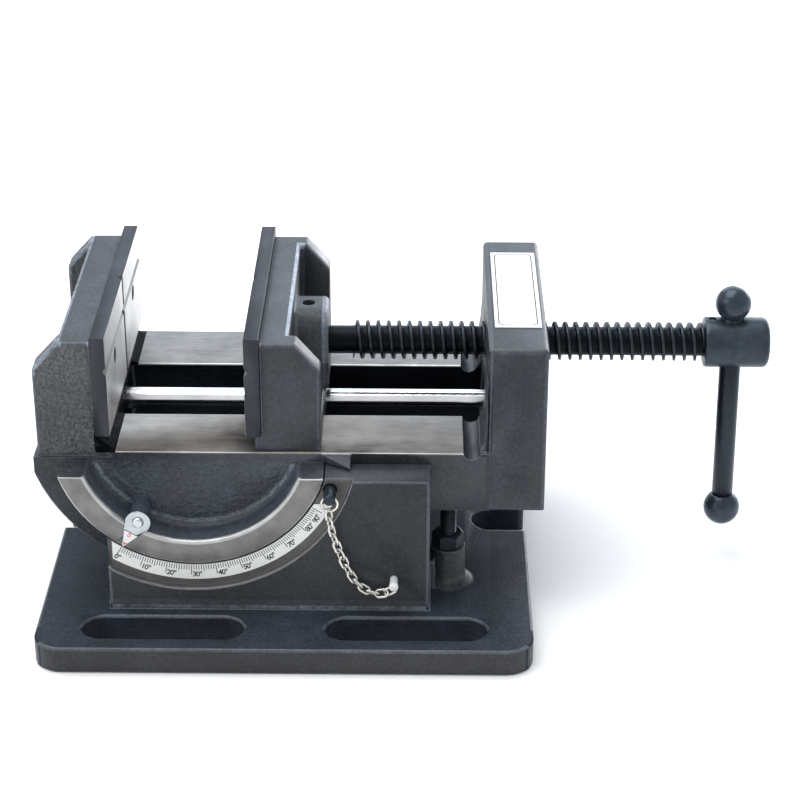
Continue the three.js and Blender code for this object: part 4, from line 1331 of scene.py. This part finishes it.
# ------------------------------------------------------------------------------------------
# pin, ring, peg, clamp and small fasteners
# ------------------------------------------------------------------------------------------
PIN = (TILT_X + 51 * math.sin(math.radians(69.1)), TILT_Z - 51 * math.cos(math.radians(69.1)))
pin = new_object(
    "locating_pin_turned",
    lathe([(0, -69), (1.5, -69), (2.0, -68.5), (2.1, -68), (2.1, -50.9), (1.4, -50), (0, -50)], "y", 64, PIN),
    [black_oxide],
)
carve(pin, new_object("eye", lathe([(0, 0), (1.25, 0), (1.25, 40), (0, 40)], "x", 32, (-66.7, PIN[1]))))
shade(pin, 40)
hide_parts("locating_pin"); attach(pin, "pin")

# split ring through the pin's eye: it hangs flat in front of the pin
bm = bmesh.new()
RING_R, RING_Z = 2.8, PIN[1] - 2.8 + 0.45
rings = []
n = 64
for k in range(n):
    t = 2 * math.pi * k / n
    radial = Vector((math.sin(t), 0, math.cos(t)))
    c = Vector((PIN[0], -66.7, RING_Z)) + radial * RING_R
    ring = []
    for j in range(12):
        a = 2 * math.pi * j / 12
        # the wire's section is pressed a little flat, with a seam between its two turns
        w = 0.44 - (0.07 if j in (3, 9) else 0.0)
        ring.append(bm.verts.new((c + radial * (w * math.sin(a)) + Vector((0, 1, 0)) * (0.44 * math.cos(a))) * MM))
    rings.append(ring)
for k in range(n):
    a, b = rings[k], rings[(k + 1) % n]
    for j in range(12):
        j2 = (j + 1) % 12
        bm.faces.new((a[j], b[j], b[j2], a[j2]))
ring = new_object("pin_ring_wire", bm, [chain_steel])
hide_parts("pin_split_ring"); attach(ring, "pin")

peg = new_object(
    "chain_peg_turned",
    lathe([(0, -69), (1.3, -69), (1.55, -68.85), (1.64, -68.5), (1.6, -68.2), (1.32, -65.2), (1.28, -58.2), (1.1, -58), (0, -58)], "y", 48, (37.6, 21.6)),
    [zinc],
)
shade(peg, 40)
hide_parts("chain_peg"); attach(peg, "base")

for node, mat, width in (
    ("ring_clamp", black_dull, 0.7),
    ("clamp_washer", plated_steel, 0.25),
    ("clamp_bolt", black_oxide, 0.3),
    ("pointer_rivet", plated_steel, 0.12),
    ("fixed_plate_screw_front", black_oxide, 0.15),
    ("fixed_plate_screw_rear", black_oxide, 0.15),
    ("moving_plate_screw_front", black_oxide, 0.15),
    ("moving_plate_screw_rear", black_oxide, 0.15),
    ("screw_keeper_pin", black_oxide, 0.2),
    ("head_pin", black_oxide, 0.15),
    ("rod_grub_screw", black_oxide, 0.15),
    ("angle_pointer", pointer_steel, 0.12),
):
    o = bevelled(node + "_finished", from_cad(node), lambda p, e, c, a, w=width: 0.0 if c else w, width, 2, [mat])
    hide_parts(node)
    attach(o, NODES[node]["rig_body"])


# ------------------------------------------------------------------------------------------
# scale print, pointer print and label border
# ------------------------------------------------------------------------------------------
def slab_poly(bm, pts, front, back, plane="y"):
    """A flat outline with a little thickness. plane y: pts are x and z; plane z: x and y."""
    def at(p, d):
        return Vector((p[0], d, p[1])) * MM if plane == "y" else Vector((p[0], p[1], d)) * MM

    a = [bm.verts.new(at(p, front)) for p in pts]
    b = [bm.verts.new(at(p, back)) for p in pts]
    bm.faces.new(a)
    bm.faces.new(b[::-1])
    for k in range(len(pts)):
        k2 = (k + 1) % len(pts)
        bm.faces.new((a[k], b[k], b[k2], a[k2]))


def below(r, deg):
    t = math.radians(deg)
    return (TILT_X + r * math.sin(t), TILT_Z - r * math.cos(t))


def text_mesh(bm, string, size, matrix, depth, spread=1.0, bold=0.0):
    """Adds a plain number, lying in its own XY plane, at a matrix."""
    cu = bpy.data.curves.new("t", "FONT")
    cu.body = string
    cu.size = size * MM
    cu.extrude = depth * MM / 2
    cu.space_character = spread
    cu.resolution_u = 3
    cu.offset = bold * MM
    cu.fill_mode = "BOTH"
    o = bpy.data.objects.new("t", cu)
    scene.collection.objects.link(o)
    bpy.context.view_layer.update()
    me = bpy.data.meshes.new_from_object(o.evaluated_get(bpy.context.evaluated_depsgraph_get()))
    me.transform(matrix)
    bm.from_mesh(me)
    bpy.data.objects.remove(o)
    bpy.data.curves.remove(cu)
    bpy.data.meshes.remove(me)


SCALE_FRONT = -61.45
bm = bmesh.new()
for d in range(0, 91):
    ang = d + SCALE_ZERO
    long_ = 3.8 if d % 10 == 0 else 2.4 if d % 5 == 0 else 1.8
    w = 0.14 if d % 10 == 0 else 0.13
    r0 = 48.45
    t = math.radians(ang)
    side = (math.cos(t), math.sin(t))
    p0, p1 = below(r0, ang), below(r0 + long_, ang)
    slab_poly(
        bm,
        [
            (p0[0] - side[0] * w, p0[1] - side[1] * w),
            (p0[0] + side[0] * w, p0[1] + side[1] * w),
            (p1[0] + side[0] * w, p1[1] + side[1] * w),
            (p1[0] - side[0] * w, p1[1] - side[1] * w),
        ],
        SCALE_FRONT - 0.03,
        SCALE_FRONT + 0.05,
    )


def on_cheek(x, z, turn, front):
    """A matrix for print on the face that looks to -Y: its own X goes right, its own Y up."""
    return (
        Matrix.Translation(Vector((x, front, z)) * MM)
        @ Matrix.Rotation(math.radians(90), 4, "X")
        @ Matrix.Rotation(math.radians(turn), 4, "Z")
    )


for d in range(0, 100, 10):
    ang = d + SCALE_ZERO
    # numbers stand upright to the centre, to the right of their long marks
    at = below(52.95, ang + 0.35)
    if d == 0:
        at = below(53.35, ang - 0.5)
    if d == 90:
        at = below(53.05, ang - 4.9)
    text_mesh(bm, f"{d}°", 2.85, on_cheek(at[0], at[1], ang + 0.35, SCALE_FRONT + 0.01), 0.08, 0.84, 0.055)
marks = new_object("scale_marks", bm, [black_ink], smooth=False)
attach(marks, "base")
NODES["angle_scale"].data.materials.clear()
NODES["angle_scale"].data.materials.append(scale_white)

# the pointer: a white printed tip with a red zero and a red mark, and a dark strip across it as painted shade along its
# bend
tip, c = below(47.4, SCALE_ZERO), below(POINTER_R, SCALE_ZERO)
u = Vector((tip[0] - c[0], tip[1] - c[1])).normalized()
v = Vector((-u.y, u.x))
front = -62.3


def on_pointer(along, across):
    """A point on the pointer, in millimetres back from its tip and to one side."""
    p = Vector(tip) - u * along + v * across
    return (p.x, p.y)


def half_width(along):
    return 0.25 + along * 0.405


bm = bmesh.new()
slab_poly(
    bm,
    [on_pointer(0.25, half_width(0.25) - 0.12), on_pointer(6.2, half_width(6.2) - 0.2), on_pointer(6.2, -half_width(6.2) + 0.2), on_pointer(0.25, -half_width(0.25) + 0.12)],
    front - 0.03,
    front + 0.05,
)
white = new_object("pointer_white", bm, [scale_white], smooth=False)
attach(white, "tilting_body")
# painted shade: a dark strip along the pointer's bend
bm = bmesh.new()
slab_poly(
    bm,
    [on_pointer(6.2, half_width(6.2) - 0.15), on_pointer(6.45, half_width(6.45) - 0.15), on_pointer(6.45, -half_width(6.45) + 0.15), on_pointer(6.2, -half_width(6.2) + 0.15)],
    front - 0.04,
    front + 0.05,
)
bend = new_object("pointer_bend_shade", bm, [black_ink], smooth=False)
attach(bend, "tilting_body")
bm = bmesh.new()
for side in (-1, 1):
    slab_poly(
        bm,
        [on_pointer(0.7, 0), on_pointer(2.1, side * 0.8), on_pointer(1.85, side * 0.2), on_pointer(1.4, 0)][:: side],
        front - 0.06,
        front + 0.02,
    )
zero = on_pointer(4.35, -0.80)
text_mesh(bm, "0", 2.6, on_cheek(zero[0], zero[1], SCALE_ZERO, front - 0.03), 0.07)
red = new_object("pointer_print", bm, [red_ink], smooth=False)
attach(red, "tilting_body")

# thin dark border with cut corners, inside the label's edge
bm = bmesh.new()
Z = 103.15


def frame_line(x0, x1, y0, y1, cut, w):
    outer = [(x0 + cut, y0), (x1 - cut, y0), (x1, y0 + cut), (x1, y1 - cut), (x1 - cut, y1), (x0 + cut, y1), (x0, y1 - cut), (x0, y0 + cut)]
    k = w * 0.42
    x0, x1, y0, y1, cut = x0 + w, x1 - w, y0 + w, y1 - w, cut - k + w * 0.0
    inner = [(x0 + cut, y0), (x1 - cut, y0), (x1, y0 + cut), (x1, y1 - cut), (x1 - cut, y1), (x0 + cut, y1), (x0, y1 - cut), (x0, y0 + cut)]
    for i in range(8):
        j = (i + 1) % 8
        slab_poly(bm, [outer[i], outer[j], inner[j], inner[i]], Z + 0.03, Z - 0.05, "z")


frame_line(73.3, 87.1, -28.0, 34.0, 1.4, 0.42)
border = new_object("label_border", bm, [black_ink], smooth=False)
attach(border, "tilting_body")
NODES["label_plate"].data.materials.clear()
NODES["label_plate"].data.materials.append(label_white)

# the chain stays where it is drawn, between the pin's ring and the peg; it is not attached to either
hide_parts("pin_chain")
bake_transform(chain)


# ------------------------------------------------------------------------------------------
# floor and light
# ------------------------------------------------------------------------------------------
bm = bmesh.new()
bmesh.ops.create_grid(bm, x_segments=1, y_segments=1, size=6.0)
floor = new_object("floor", bm, smooth=False)
g = Graph("floor_paper")
g.set(Base_Color=g.ramp(g.noise(3, 2, 0.5), (0.3, (0.965, 0.965, 0.965)), (0.7, (0.98, 0.98, 0.98))), Roughness=0.9)
floor.data.materials.append(g.mat)
floor.location = (0, 0, -0.0002)

world = bpy.data.worlds.new("studio")
scene.world = world
world.use_nodes = True
world.node_tree.nodes["Background"].inputs[0].default_value = (0.94, 0.965, 1.0, 1)
world.node_tree.nodes["Background"].inputs[1].default_value = 0.78


def area(name, place_at, target, size, power, colour=(1, 1, 1)):
    li = bpy.data.lights.new(name, "AREA")
    li.shape = "RECTANGLE"
    li.size, li.size_y = size
    li.energy = power
    li.color = colour
    o = bpy.data.objects.new(name, li)
    scene.collection.objects.link(o)
    o.location = place_at
    o.rotation_euler = (Vector(target) - Vector(place_at)).to_track_quat("-Z", "Y").to_euler()
    return o


area("softbox_top", (-0.25, 0.15, 1.25), (0, 0, 0.05), (1.2, 1.0), 13)
area("softbox_left", (-1.1, -0.5, 0.75), (0, 0, 0.05), (0.8, 0.8), 4)
area("softbox_back", (0.1, 1.3, 0.75), (0, 0, 0.06), (1.6, 0.7), 7, (0.66, 0.82, 1.0))
area("softbox_side", (0.85, 1.25, 0.22), (0, 0, 0.08), (1.0, 0.4), 7)

scene.view_settings.view_transform = "Standard"
scene.view_settings.look = "None"
